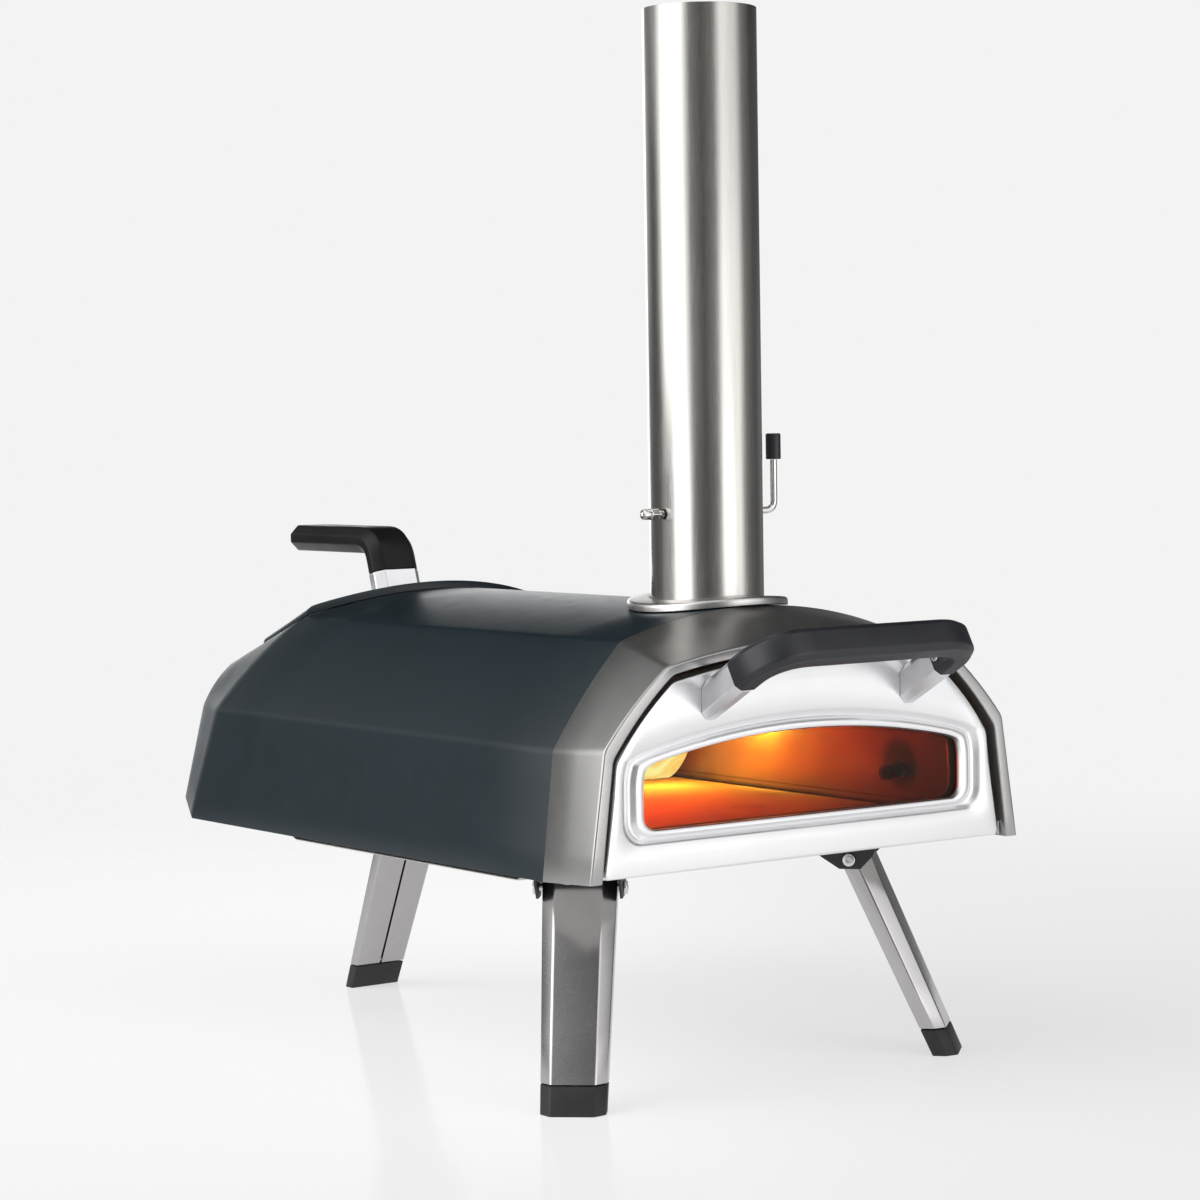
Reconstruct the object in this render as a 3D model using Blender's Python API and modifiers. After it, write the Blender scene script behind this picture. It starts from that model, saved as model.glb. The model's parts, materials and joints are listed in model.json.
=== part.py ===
"""Portable wood fired pizza oven on three folding legs.

Metres, +Z up. The mouth faces -Y. The origin is on the ground, under the middle of the whole oven.
Most sizes are given from the datum: the middle of the body's lower front edge.
"""
import math

import bmesh
import bpy
from mathutils import Matrix, Vector

# Place of the datum above the ground and in front of the origin
BODY_HEIGHT = 0.176
FRONT_Y = -0.3195

# Gap kept between pieces that touch
GAP = 0.0003
FRONT_SEAM = 0.0007
REAR_SEAM = 0.0010
SHEET = 0.0012

# Cross-sections of the body: lower corner, shoulder and crown as (x, y, z), then the top of the arch
SHELL_FRONT = ((0.2126, 0.0554, 0.0), (0.2000, 0.0576, 0.0951), (0.1272, 0.0704, 0.1714), (0.0674, 0.192))
SHELL_REAR = ((0.2126, 0.579, 0.0), (0.2000, 0.549, 0.0951), (0.1272, 0.526, 0.1714), (0.496, 0.192))
COWL_REAR = ((0.1960, 0.620, 0.014), (0.1760, 0.620, 0.093), (0.1470, 0.620, 0.128), (0.620, 0.153))
RIM_OUTER = ((0.2094, 0.0, 0.0023), (0.1948, 0.0, 0.0986), (0.1367, 0.0, 0.1561), (0.0, 0.171))
RIM_INNER = ((0.1985, 0.0, 0.0023), (0.1870, 0.0, 0.0910), (0.1313, 0.0, 0.1499), (0.0, 0.163))
LINER = ((0.1745, 0.034, 0.0040), (0.1700, 0.034, 0.0830), (0.1180, 0.034, 0.1340), (0.034, 0.152))
DOOR_EDGE = ((0.1926, 0.0, 0.0038), (0.1814, 0.0, 0.0884), (0.1282, 0.0, 0.1443), (0.0, 0.158))
MOUTH = ((0.1655, 0.0, 0.0225), (0.1610, 0.0, 0.0800), (0.1130, 0.0, 0.1200), (0.0, 0.134))
WINDOW = ((0.1545, 0.0, 0.0370), (0.1545, 0.0, 0.0730), (0.1440, 0.0, 0.0855), (0.0, 0.101))
SHOULDER_MITRE = (0.95, 0.46)
CROWN_MITRE = (0.55, 0.87)
FACET_BULGE = 0.0028
FACET_STEPS = 3
ARCH_STEPS = 5
CORNER_STEPS = 3

# Mouth, door and its parts
RETURN_DEPTH = 0.026
FRONT_PLATE_Y = 0.0285
LINER_REAR_Y = 0.430
DOOR_FACE_Y = 0.0044
DOOR_DEPTH = 0.0150
DOOR_SHEET = 0.0012
DOOR_BEND = 0.0025
WINDOW_RECESS = 0.0055
WINDOW_LIP = 0.0060
GLASS_THICKNESS = 0.004
HINGE_Y = 0.0125
HINGE_Z = 0.0085
HINGE_PIN_RADIUS = 0.0020
HINGE_X = 0.1915

# Door handle
HANDLE_MIDDLE_X = 0.003
HANDLE_ARM_X = 0.0972
HANDLE_BASE_Z = 0.1288
HANDLE_TILT = math.radians(29.3)
ARM_SECTION = (0.018, 0.026, 0.005)
ARM_LENGTH = 0.0425
GRIP_SECTION = (0.0215, 0.0257, 0.0044)
GRIP_REACH = 0.083

# Stone, floor and fuel parts
PAN_BOTTOM = -0.0034
PAN_HALF_WIDTH = 0.2085
FLOOR_Z = 0.0062
STONE_HALF_WIDTH = 0.1665
STONE_Y = (0.046, 0.390)
STONE_Z = (0.0080, 0.0215)
FUEL_HALF_WIDTH = 0.095
FUEL_Y = (0.4350, 0.5980)
FUEL_Z = (0.0135, 0.1430)

# Chimney
CHIMNEY_Y = 0.1268
CHIMNEY_RADIUS = 0.0445
CHIMNEY_WALL = 0.0010
CHIMNEY_BOTTOM = 0.1955
CHIMNEY_TOP = 0.654
SOCKET_RADIUS = 0.0430
SOCKET_Z = (0.1400, 0.2300)
SHELL_FLUE_RADIUS = 0.0455
COLLAR_RADIUS = (0.0450, 0.0630)
COLLAR_THICKNESS = 0.0062
DAMPER_Z = 0.263
DAMPER_ROD_RADIUS = 0.0028
DAMPER_LEVER_X = 0.0685
DAMPER_LEVER_RISE = 0.0400
DAMPER_PLATE_RADIUS = 0.0405
KNOB_RADIUS = 0.0060
KNOB_LENGTH = 0.0205

# Rear hatch and its handle
HATCH_LEAN = math.radians(17.3)
HATCH_START = 0.06
HATCH_TAPER = 0.18
HATCH_END = 0.92
HATCH_HEIGHT = 0.0092
HATCH_SKIN = 0.0014
HATCH_OPENING = (0.064, 0.0300)
HATCH_OPENING_Y = 0.5600
STEM_SECTION = (0.024, 0.047, 0.008)
STEM_FOOT = (0.0, 0.5745, 0.1774)
STEM_LENGTH = 0.0272
REAR_GRIP_SECTION = (0.0235, 0.047, 0.008)
REAR_GRIP_Z = 0.232
REAR_GRIP_END = 0.726

# Legs
PIVOT_DROP = 0.0175
LEG_RUN = 0.0720
FOOT_FRONT = (0.185, 0.060)
FOOT_REAR_Y = 0.635
LEG_HEADING = math.radians(48.0)
CAP_HEIGHT = 0.021
LEG_TOP = dict(half_flat=0.0185, chamfer=0.0105, side=0.0125, front=0.0150)
LEG_FOOT = dict(half_flat=0.0165, chamfer=0.0078, side=0.0100, front=0.0108)
LEG_SHEET = 0.0015
LEG_SLIT = 0.0022
LEG_ABOVE_PIVOT = 0.0050
LEG_TRIM_ANGLE = math.radians(145.0)
LEG_TRIM_REACH = 0.0100
BRACKET_HALF_WIDTH = 0.0330
BRACKET_SHEET = 0.0020
BOLT_RADIUS = 0.0030
BOLT_HEAD = (0.0052, 0.0030)

# Thermometer on the right side
GAUGE_Y = 0.095
GAUGE_Z = 0.0555
GAUGE_RADIUS = 0.0240
GAUGE_DEPTH = 0.0110
PROBE_RADIUS = 0.0032

# Burner port cover at the back
PORT_HALF = (0.055, 0.025)
PORT_Z = 0.048
REAR_PANEL_Y = 0.6100


def material(name, colour, roughness, metallic):
    """Principled material of one colour."""
    made = bpy.data.materials.new(name)
    made.use_nodes = True
    shader = made.node_tree.nodes["Principled BSDF"]
    shader.inputs["Base Color"].default_value = (*colour, 1.0)
    shader.inputs["Roughness"].default_value = roughness
    shader.inputs["Metallic"].default_value = metallic
    made.diffuse_color = (*colour, 1.0)
    return made


def datum():
    """World place of the datum."""
    return Vector((0.0, FRONT_Y, BODY_HEIGHT))


def finish(body, finish_material, pivot=None, smooth=None):
    """Give an object its material and collection, and hang it on its pivot."""
    body.data.materials.clear()
    body.data.materials.append(finish_material)
    for holder in list(body.users_collection):
        holder.objects.unlink(body)
    OVEN.objects.link(body)
    if pivot:
        bpy.context.view_layer.update()
        body.parent = pivot
        body.matrix_parent_inverse = pivot.matrix_world.inverted()
    if smooth:
        body.data.shade_smooth()
        body.data.set_sharp_from_angle(angle=math.radians(smooth))
    return body


def pivot_at(name, place, heading=0.0):
    """Empty on a joint's axis."""
    empty = bpy.data.objects.new(name, None)
    empty.empty_display_size = 0.03
    empty.location = datum() + Vector(place)
    empty.rotation_euler = (0.0, 0.0, heading)
    OVEN.objects.link(empty)
    return empty


def mesh_object(name, vertices, faces):
    """Object made of listed vertices and faces, standing at the datum."""
    mesh = bpy.data.meshes.new(name)
    mesh.from_pydata([tuple(point) for point in vertices], [], faces)
    body = bpy.data.objects.new(name, mesh)
    body.location = datum()
    bpy.context.scene.collection.objects.link(body)
    return body


def face_outward(body):
    """Turn all faces of a closed mesh outward."""
    made = bmesh.new()
    made.from_mesh(body.data)
    bmesh.ops.recalc_face_normals(made, faces=made.faces)
    made.to_mesh(body.data)
    made.free()


def grid_faces(row_count, row_length, closed=False):
    """Quads between neighbouring rows of equal length."""
    faces = []
    span = row_length if closed else row_length - 1
    for row in range(row_count - 1):
        for index in range(span):
            here = row * row_length
            there = here + row_length
            after = (index + 1) % row_length
            faces.append((here + index, here + after, there + after, there + index))
    return faces


def sheet(name, rows, thickness, closed=False, outward=True):
    """Bent sheet through rows of points, thickened inward from its outer face."""
    vertices = [point for row in rows for point in row]
    body = mesh_object(name, vertices, grid_faces(len(rows), len(rows[0]), closed))
    solidify = body.modifiers.new("Sheet thickness", "SOLIDIFY")
    solidify.thickness = thickness
    solidify.offset = -1.0 if outward else 1.0
    solidify.use_even_offset = True
    return body


def solid_loft(name, rows):
    """Closed solid through loops of points, capped at both ends."""
    count = len(rows[0])
    vertices = [point for row in rows for point in row]
    faces = grid_faces(len(rows), count, closed=True)
    faces.append(tuple(range(count)))
    faces.append(tuple(range(len(vertices) - count, len(vertices))))
    body = mesh_object(name, vertices, faces)
    face_outward(body)
    return body


def ring_loft(name, loops):
    """Closed ring whose cross-section runs through the loops and back to the first."""
    count = len(loops[0])
    vertices = [point for loop in loops for point in loop]
    faces = grid_faces(len(loops), count, closed=True)
    last = (len(loops) - 1) * count
    faces += [(last + i, last + (i + 1) % count, (i + 1) % count, i) for i in range(count)]
    body = mesh_object(name, vertices, faces)
    face_outward(body)
    return body


def inset(section, depth, y=None):
    """Cross-section moved inward by a depth, and to another y where one is given."""
    lower, shoulder, crown, apex = section
    moved = [
        (lower[0] - depth, lower[1], lower[2]),
        (shoulder[0] - SHOULDER_MITRE[0] * depth, shoulder[1], shoulder[2] - SHOULDER_MITRE[1] * depth),
        (crown[0] - CROWN_MITRE[0] * depth, crown[1], crown[2] - CROWN_MITRE[1] * depth),
        (apex[0], apex[1] - depth),
    ]
    if y is not None:
        moved = [(x, y, z) for x, _, z in moved[:3]] + [(y, moved[3][1])]
    return tuple(moved)


def flank(section, bulge=FACET_BULGE):
    """Right half of a cross-section, from its lower corner up to the middle of the arch."""
    lower, shoulder, crown = (Vector(point) for point in section[:3])
    apex_y, apex_z = section[3]
    facet = crown - shoulder
    outward = Vector((facet.z, 0.0, -facet.x)).normalized()
    points = [lower]
    for step in range(FACET_STEPS + 1):
        share = step / FACET_STEPS
        points.append(shoulder + facet * share + outward * (4.0 * bulge * share * (1.0 - share)))
    for step in range(1, ARCH_STEPS + 1):
        side = 1.0 - step / ARCH_STEPS
        rise = apex_z - (apex_z - crown.z) * side * side
        points.append(Vector((crown.x * side, apex_y + (crown.y - apex_y) * side * side, rise)))
    return points


def arch(section, bulge=FACET_BULGE):
    """Whole open cross-section, from the lower left corner over the top to the lower right one."""
    right = flank(section, bulge)
    left = [Vector((-point.x, point.y, point.z)) for point in right]
    return left + right[-2::-1]


def outline(section, y, corner=0.003, bulge=FACET_BULGE):
    """Closed outline in one plane, with a straight lower edge and round lower corners."""
    (half, _, low), rest = section[0], section[1:]
    lower = []
    for step in range(CORNER_STEPS + 1):
        angle = -0.5 * math.pi * (1.0 - step / CORNER_STEPS)
        side = half - corner + corner * math.cos(angle)
        lower.append(Vector((side, y, low + corner + corner * math.sin(angle))))
    right = lower + flank((section[0], *rest), bulge)[1:]
    right = [Vector((point.x, y, point.z)) for point in right]
    left = [Vector((-point.x, y, point.z)) for point in right[-2::-1]]
    return right + left


def flat_panel(name, outlines, thickness):
    """Flat upright plate: the first outline with the others cut out of it. Its front face is at their y."""
    front = outlines[0][0].y
    curve = bpy.data.curves.new(name, "CURVE")
    curve.dimensions = "2D"
    curve.fill_mode = "BOTH"
    curve.extrude = 0.5 * thickness
    for loop in outlines:
        spline = curve.splines.new("POLY")
        spline.points.add(len(loop) - 1)
        for point, target in zip(spline.points, loop):
            point.co = (target.x, target.z, 0.0, 1.0)
        spline.use_cyclic_u = True
    guide = bpy.data.objects.new(name + "_curve", curve)
    guide.location = datum() + Vector((0.0, front + 0.5 * thickness, 0.0))
    guide.rotation_euler = (0.5 * math.pi, 0.0, 0.0)
    return curve_to_mesh(name, guide)


def curve_to_mesh(name, guide):
    """Mesh object with the shape and place of a curve object, which is removed."""
    bpy.context.scene.collection.objects.link(guide)
    bpy.context.view_layer.update()
    mesh = bpy.data.meshes.new_from_object(guide.evaluated_get(bpy.context.evaluated_depsgraph_get()))
    made = bmesh.new()
    made.from_mesh(mesh)
    bmesh.ops.remove_doubles(made, verts=made.verts, dist=0.000002)
    bmesh.ops.recalc_face_normals(made, faces=made.faces)
    made.to_mesh(mesh)
    made.free()
    body = bpy.data.objects.new(name, mesh)
    body.matrix_world = guide.matrix_world.copy()
    bpy.context.scene.collection.objects.link(body)
    bpy.data.objects.remove(guide)
    return body


def tube(name, points, radius):
    """Round wire or rod through points, with filled ends."""
    curve = bpy.data.curves.new(name, "CURVE")
    curve.dimensions = "3D"
    curve.bevel_depth = radius
    curve.bevel_resolution = 2
    curve.use_fill_caps = True
    spline = curve.splines.new("POLY")
    spline.points.add(len(points) - 1)
    for point, target in zip(spline.points, points):
        point.co = (*target, 1.0)
    guide = bpy.data.objects.new(name + "_curve", curve)
    guide.location = datum()
    return curve_to_mesh(name, guide)


def box(name, low, high, bevel=0.0):
    """Box between two corners."""
    low = Vector(low)
    high = Vector(high)
    size = high - low
    mesh = bpy.data.meshes.new(name)
    made = bmesh.new()
    bmesh.ops.create_cube(made, size=1.0)
    bmesh.ops.scale(made, vec=size, verts=made.verts)
    made.to_mesh(mesh)
    made.free()
    body = bpy.data.objects.new(name, mesh)
    body.location = datum() + (low + high) / 2.0
    bpy.context.scene.collection.objects.link(body)
    if bevel:
        rounding = body.modifiers.new("Rounded edges", "BEVEL")
        rounding.width = bevel
        rounding.segments = 1
    return body


def open_box(name, low, high, thickness, bottomless=False):
    """Box of thin sheet, open at the top."""
    body = box(name, low, high)
    made = bmesh.new()
    made.from_mesh(body.data)
    made.normal_update()
    limit = 0.5
    lids = [face for face in made.faces if face.normal.z > limit]
    if bottomless:
        lids += [face for face in made.faces if face.normal.z < -limit]
    bmesh.ops.delete(made, geom=lids, context="FACES_ONLY")
    made.to_mesh(body.data)
    made.free()
    walls = body.modifiers.new("Sheet thickness", "SOLIDIFY")
    walls.thickness = thickness
    walls.offset = -1.0
    walls.use_even_offset = True
    return body


def cylinder(name, radius, length, centre, axis, segments=24, radius_end=None):
    """Cylinder or cone about an axis direction."""
    mesh = bpy.data.meshes.new(name)
    made = bmesh.new()
    bmesh.ops.create_cone(
        made,
        cap_ends=True,
        segments=segments,
        radius1=radius,
        radius2=radius if radius_end is None else radius_end,
        depth=length,
    )
    made.to_mesh(mesh)
    made.free()
    body = bpy.data.objects.new(name, mesh)
    body.location = datum() + Vector(centre)
    body.rotation_euler = Vector(axis).to_track_quat("Z", "Y").to_euler()
    bpy.context.scene.collection.objects.link(body)
    return body


def turned(name, profile, centre, axis, segments=32, spin=0.0):
    """Turned piece: (radius, height) points down its outer side; a profile off the axis closes on itself."""
    mesh = bpy.data.meshes.new(name)
    points = [(radius, 0.0, height) for radius, height in profile]
    closed = profile[0][0] > 0.0
    edges = [(i, i + 1) for i in range(len(points) - 1)]
    if closed:
        edges.append((len(points) - 1, 0))
    mesh.from_pydata(points, edges, [])
    body = bpy.data.objects.new(name, mesh)
    body.location = datum() + Vector(centre)
    body.rotation_euler = Vector(axis).to_track_quat("Z", "Y").to_euler()
    body.rotation_euler.rotate_axis("Z", spin)
    bpy.context.scene.collection.objects.link(body)
    screw = body.modifiers.new("Turned", "SCREW")
    screw.steps = segments
    screw.render_steps = segments
    screw.use_merge_vertices = True
    screw.merge_threshold = 0.00001
    return body


def cut(body, cutter):
    """Take a cutter's shape out of a body."""
    for holder in list(cutter.users_collection):
        holder.objects.unlink(cutter)
    CUTTERS.objects.link(cutter)
    cutter.hide_render = True
    cutter.display_type = "WIRE"
    difference = body.modifiers.new("Cut " + cutter.name, "BOOLEAN")
    difference.operation = "DIFFERENCE"
    difference.object = cutter
    return body


def octagon(width, height, chamfer):
    """Corner points of a chamfered rectangle."""
    across = 0.5 * width
    up = 0.5 * height
    return [
        (across, up - chamfer),
        (across - chamfer, up),
        (chamfer - across, up),
        (-across, up - chamfer),
        (-across, chamfer - up),
        (chamfer - across, -up),
        (across - chamfer, -up),
        (across, chamfer - up),
    ]


def swept_rows(path, section, normal, scales=None):
    """Section loops mitred along a flat path; the section's height lies along the path's normal."""
    rows = []
    last = len(path) - 1
    for index, place in enumerate(path):
        before = (place - path[index - 1]).normalized() if index else None
        after = (path[index + 1] - place).normalized() if index < last else None
        before = before or after
        after = after or before
        along = (before + after).normalized()
        side = normal.cross(along).normalized()
        stretch = 1.0 / max(along.dot(after), 0.3)
        scale = scales[index] if scales else 1.0
        rows.append([place + side * (u * stretch * scale) + normal * (v * scale) for u, v in section])
    return rows


def build_outer_casing(paint, bezel_paint, steel):
    """Painted shell, dark front bezel, rear cowl and rear panel."""
    shell = sheet("outer_shell", [arch(SHELL_FRONT), arch(SHELL_REAR)], SHEET)
    cut(shell, cylinder("shell_flue_cutter", SHELL_FLUE_RADIUS, 0.1, (0.0, CHIMNEY_Y, 0.19), (0, 0, 1), 32))
    cut(shell, gauge_hole("shell_gauge_cutter", 0.0065))
    finish(shell, paint)

    back_edge = [(x, y - FRONT_SEAM, z) for x, y, z in SHELL_FRONT[:3]]
    back_edge.append((SHELL_FRONT[3][0] - FRONT_SEAM, SHELL_FRONT[3][1]))
    returned = inset(RIM_INNER, 0.0, RETURN_DEPTH)
    rows = [arch(returned), arch(RIM_INNER), arch(RIM_OUTER), arch(back_edge)]
    bezel = sheet("front_bezel", rows, SHEET)
    finish(bezel, bezel_paint)

    front_edge = [(x, y + REAR_SEAM, z) for x, y, z in SHELL_REAR[:3]]
    front_edge.append((SHELL_REAR[3][0] + REAR_SEAM, SHELL_REAR[3][1]))
    rows = [arch(front_edge), arch(COWL_REAR), arch(inset(COWL_REAR, 0.009))]
    cowl = sheet("rear_cowl", rows, SHEET)
    cut(cowl, hatch_block("hatch_opening_cutter", HATCH_OPENING, -0.02, 0.03))
    finish(cowl, paint)

    edge = outline(inset(COWL_REAR, 0.0080), REAR_PANEL_Y, bulge=0.0)
    half_x, half_z = PORT_HALF
    corners = ((-half_x, -half_z), (half_x, -half_z), (half_x, half_z), (-half_x, half_z))
    port = [Vector((x, REAR_PANEL_Y, PORT_Z + z)) for x, z in corners]
    finish(flat_panel("rear_panel", [edge, port], SHEET), steel)


def build_port_cover(steel, bright):
    """Cover over the burner port in the rear panel, with its two screws."""
    half_x, half_z = PORT_HALF
    rear = REAR_PANEL_Y + SHEET + GAP
    low = (-half_x - 0.012, rear, PORT_Z - half_z - 0.008)
    high = (half_x + 0.012, rear + SHEET, PORT_Z + half_z + 0.008)
    finish(box("burner_port_cover", low, high), steel)
    for side, name in ((-1, "left"), (1, "right")):
        place = (side * (half_x + 0.006), rear + SHEET + GAP + 0.0012, PORT_Z)
        finish(cylinder("port_screw_" + name, 0.0042, 0.0024, place, (0, 1, 0), 12), bright)


def build_base(steel, stone):
    """Folded base pan, inner floor and the baking stone."""
    front_y = 0.0300
    drop_start = 0.086
    drop_end = 0.420
    ramp = 0.008
    side_line = [
        (0.2030, front_y, 0.0200),
        (PAN_HALF_WIDTH, front_y, 0.0),
        (PAN_HALF_WIDTH, drop_start, 0.0),
        (PAN_HALF_WIDTH, drop_start + ramp, PAN_BOTTOM),
        (PAN_HALF_WIDTH, drop_end - ramp, PAN_BOTTOM),
        (PAN_HALF_WIDTH, drop_end, 0.0),
        (PAN_HALF_WIDTH, 0.5720, 0.0),
        (0.1880, 0.6065, 0.0105),
    ]
    rows = [[Vector((half, y, z)), Vector((-half, y, z))] for half, y, z in side_line]
    finish(sheet("base_pan", rows, SHEET), steel)

    feet = 0.0022
    half = 0.1685
    floor_rows = [
        [Vector((x, y, z)) for y in (0.0360, 0.4270)]
        for x, z in ((half, feet), (half, FLOOR_Z), (-half, FLOOR_Z), (-half, feet))
    ]
    finish(sheet("inner_floor", floor_rows, 0.001, outward=False), steel)

    low = (-STONE_HALF_WIDTH, STONE_Y[0], STONE_Z[0])
    high = (STONE_HALF_WIDTH, STONE_Y[1], STONE_Z[1])
    finish(box("pizza_stone", low, high, 0.0015), stone)


def build_oven_lining(steel, wool):
    """Inner liner, insulation blanket, front plate and flame baffle."""
    rows = [arch(LINER), arch(inset(LINER, 0.0, LINER_REAR_Y))]
    liner = sheet("inner_liner", rows, 0.001)
    cut(liner, cylinder("liner_flue_cutter", SOCKET_RADIUS + GAP, 0.1, (0.0, CHIMNEY_Y, 0.15), (0, 0, 1), 32))
    cut(liner, gauge_hole("liner_gauge_cutter", 0.0070))
    finish(liner, steel)

    outer = inset(SHELL_FRONT, 0.0040)
    inner = inset(LINER, -0.0015)
    raised = 0.0060
    front, rear = 0.0750, 0.4200
    loops = []
    for section, y in ((outer, front), (outer, rear), (inner, rear), (inner, front)):
        lower, *rest = inset(section, 0.0, y)
        loops.append(arch(((lower[0], y, raised), *rest)))
    finish(insulation_solid(loops), wool)

    edge = outline(inset(RIM_INNER, 0.0022), FRONT_PLATE_Y, bulge=FACET_BULGE)
    finish(flat_panel("front_plate", [edge, outline(MOUTH, FRONT_PLATE_Y, 0.004)], SHEET), steel)

    baffle_y = LINER_REAR_Y + GAP
    wall = outline(inset(LINER, -0.001), baffle_y)
    opening = ((0.0900, 0.0, 0.0500), (0.0880, 0.0, 0.0850), (0.0750, 0.0, 0.1150), (0.0, 0.1200))
    finish(flat_panel("flame_baffle", [wall, outline(opening, baffle_y, 0.004)], SHEET), steel)


def insulation_solid(loops):
    """Blanket between four arches: outer front, outer rear, inner rear and inner front."""
    count = len(loops[0])
    vertices = [point for loop in loops for point in loop]
    faces = grid_faces(4, count)
    faces += [(3 * count + i, 3 * count + i + 1, i + 1, i) for i in range(count - 1)]
    faces.append((0, count, 2 * count, 3 * count))
    faces.append((count - 1, 4 * count - 1, 3 * count - 1, 2 * count - 1))
    blanket = mesh_object("insulation_blanket", vertices, faces)
    face_outward(blanket)
    cut(blanket, cylinder("blanket_flue_cutter", 0.047, 0.1, (0.0, CHIMNEY_Y, 0.16), (0, 0, 1), 24))
    cut(blanket, gauge_hole("blanket_gauge_cutter", 0.0070))
    return blanket


def build_fuel_parts(steel, dark):
    """Fuel box behind the baffle, with its tray and grate."""
    low = (-FUEL_HALF_WIDTH, FUEL_Y[0], FUEL_Z[0])
    high = (FUEL_HALF_WIDTH, FUEL_Y[1], FUEL_Z[1])
    chamber = open_box("fuel_box", low, high, 0.001)
    cut(chamber, box("flame_opening_cutter", (-0.082, 0.425, 0.060), (0.082, 0.445, 0.118)))
    finish(chamber, steel)

    tray_low = (-0.0900, 0.4410, FUEL_Z[0] + 0.0014)
    tray_high = (0.0900, 0.5920, 0.0480)
    finish(open_box("fuel_tray", tray_low, tray_high, 0.001), dark)

    grate_z = 0.0510
    half_x = 0.0875
    y_low, y_high = 0.4435, 0.5895
    plate = [(-half_x, y_low), (half_x, y_low), (half_x, y_high), (-half_x, y_high)]
    slots = [plate]
    slot_count = 7
    pitch = (y_high - y_low) / (slot_count + 1)
    half_slot, slot_end = 0.0045, 0.075
    for index in range(slot_count):
        near = y_low + pitch * (index + 1) - half_slot
        far = near + 2.0 * half_slot
        slots.append([(-slot_end, near), (slot_end, near), (slot_end, far), (-slot_end, far)])
    loops = [[Vector((x, 0.0, y)) for x, y in loop] for loop in slots]
    grate = flat_panel("fuel_grate", loops, 0.002)
    grate.rotation_euler = (0.0, 0.0, 0.0)
    grate.location = datum() + Vector((0.0, 0.0, grate_z))
    finish(grate, dark)


def section_height(section, x):
    """Height of a cross-section's arched top at a distance from the middle."""
    crown = section[2]
    share = min(abs(x) / crown[0], 1.0)
    return section[3][1] - (section[3][1] - crown[2]) * share * share


def build_flue(steel, bright):
    """Flue socket through the liner and the saddle-shaped collar on the shell."""
    low, high = SOCKET_Z
    inner = SOCKET_RADIUS - CHIMNEY_WALL
    profile = [(SOCKET_RADIUS, high), (SOCKET_RADIUS, low), (inner, low), (inner, high)]
    socket = turned("flue_socket", profile, (0.0, CHIMNEY_Y, 0.0), (0, 0, 1), 48)
    finish(socket, steel, smooth=35)

    inner, outer = COLLAR_RADIUS
    lift = 0.0009
    thick = COLLAR_THICKNESS
    profile = [
        (inner, lift),
        (inner, lift + thick),
        (outer - 0.0045, lift + thick),
        (outer - 0.0013, lift + 0.75 * thick),
        (outer, lift + 0.40 * thick),
        (outer - 0.0008, lift),
    ]
    segments = 48
    loops = []
    for radius, height in profile:
        loop = []
        for index in range(segments):
            angle = 2.0 * math.pi * index / segments
            x = radius * math.cos(angle)
            y = CHIMNEY_Y + radius * math.sin(angle)
            loop.append(Vector((x, y, section_height(SHELL_FRONT, x) + height)))
        loops.append(loop)
    finish(ring_loft("flue_collar", loops), bright, smooth=50)


def gauge_axis():
    """Foot of the thermometer on the shell's side, and the outward direction there."""
    side = Vector((SHELL_FRONT[0][0] - SHELL_FRONT[1][0], 0.0, SHELL_FRONT[1][2]))
    outward = Vector((side.z, 0.0, side.x)).normalized()
    foot = Vector((SHELL_FRONT[0][0] - side.x * GAUGE_Z / side.z, GAUGE_Y, GAUGE_Z))
    return foot, outward


def gauge_hole(name, radius):
    """Cutter along the thermometer's axis, through the whole side wall."""
    foot, outward = gauge_axis()
    return cylinder(name, radius, 0.12, foot, outward, 16)


def build_gauge(bright, dark, dial, glass, red):
    """Thermometer on the right side: case, dial, lens, needle and its probe through the wall."""
    foot, outward = gauge_axis()
    foot += outward * 0.0006
    radius = GAUGE_RADIUS
    depth = GAUGE_DEPTH
    floor = 0.0030
    profile = [
        (0.0, floor),
        (radius - 0.0025, floor),
        (radius - 0.0025, depth),
        (radius - 0.0015, depth),
        (radius, depth - 0.002),
        (radius, 0.0),
        (0.0, 0.0),
    ]
    case = turned("thermometer_case", profile, foot, outward)
    finish(case, bright, smooth=35)
    inner = radius - 0.0030
    face = cylinder("thermometer_dial", inner, 0.0006, foot + outward * (floor + 0.0007), outward, 32)
    finish(face, dial)
    lens = cylinder("thermometer_lens", inner, 0.0012, foot + outward * (depth - 0.0016), outward, 32)
    finish(lens, glass)
    pivot = pivot_at("needle_pivot", foot + outward * 0.0058)
    needle = box("thermometer_needle", (-0.0004, -0.0160, -0.0009), (0.0004, 0.0045, 0.0009))
    needle.location = datum() + foot + outward * 0.0058
    needle.rotation_euler = (0.0, -math.asin(outward.z), 0.0)
    needle.rotation_euler.rotate_axis("X", math.radians(-35.0))
    finish(needle, red, pivot)

    inward = -outward
    start = foot + inward * 0.0004
    probe_length = 0.0560
    coil_start = 0.0380
    turns = 5
    profile = [(0.0, -probe_length)]
    profile.append((PROBE_RADIUS, -probe_length))
    for index in range(turns):
        height = -probe_length + (index + 0.5) * (probe_length - coil_start) / turns
        step = 0.25 * (probe_length - coil_start) / turns
        profile.append((PROBE_RADIUS, height - step))
        profile.append((PROBE_RADIUS + 0.0030, height))
        profile.append((PROBE_RADIUS, height + step))
    profile.append((PROBE_RADIUS, 0.0))
    profile.append((0.0, 0.0))
    probe = turned("thermometer_probe", profile[::-1], start, outward, 12)
    finish(probe, dark, smooth=40)


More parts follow.
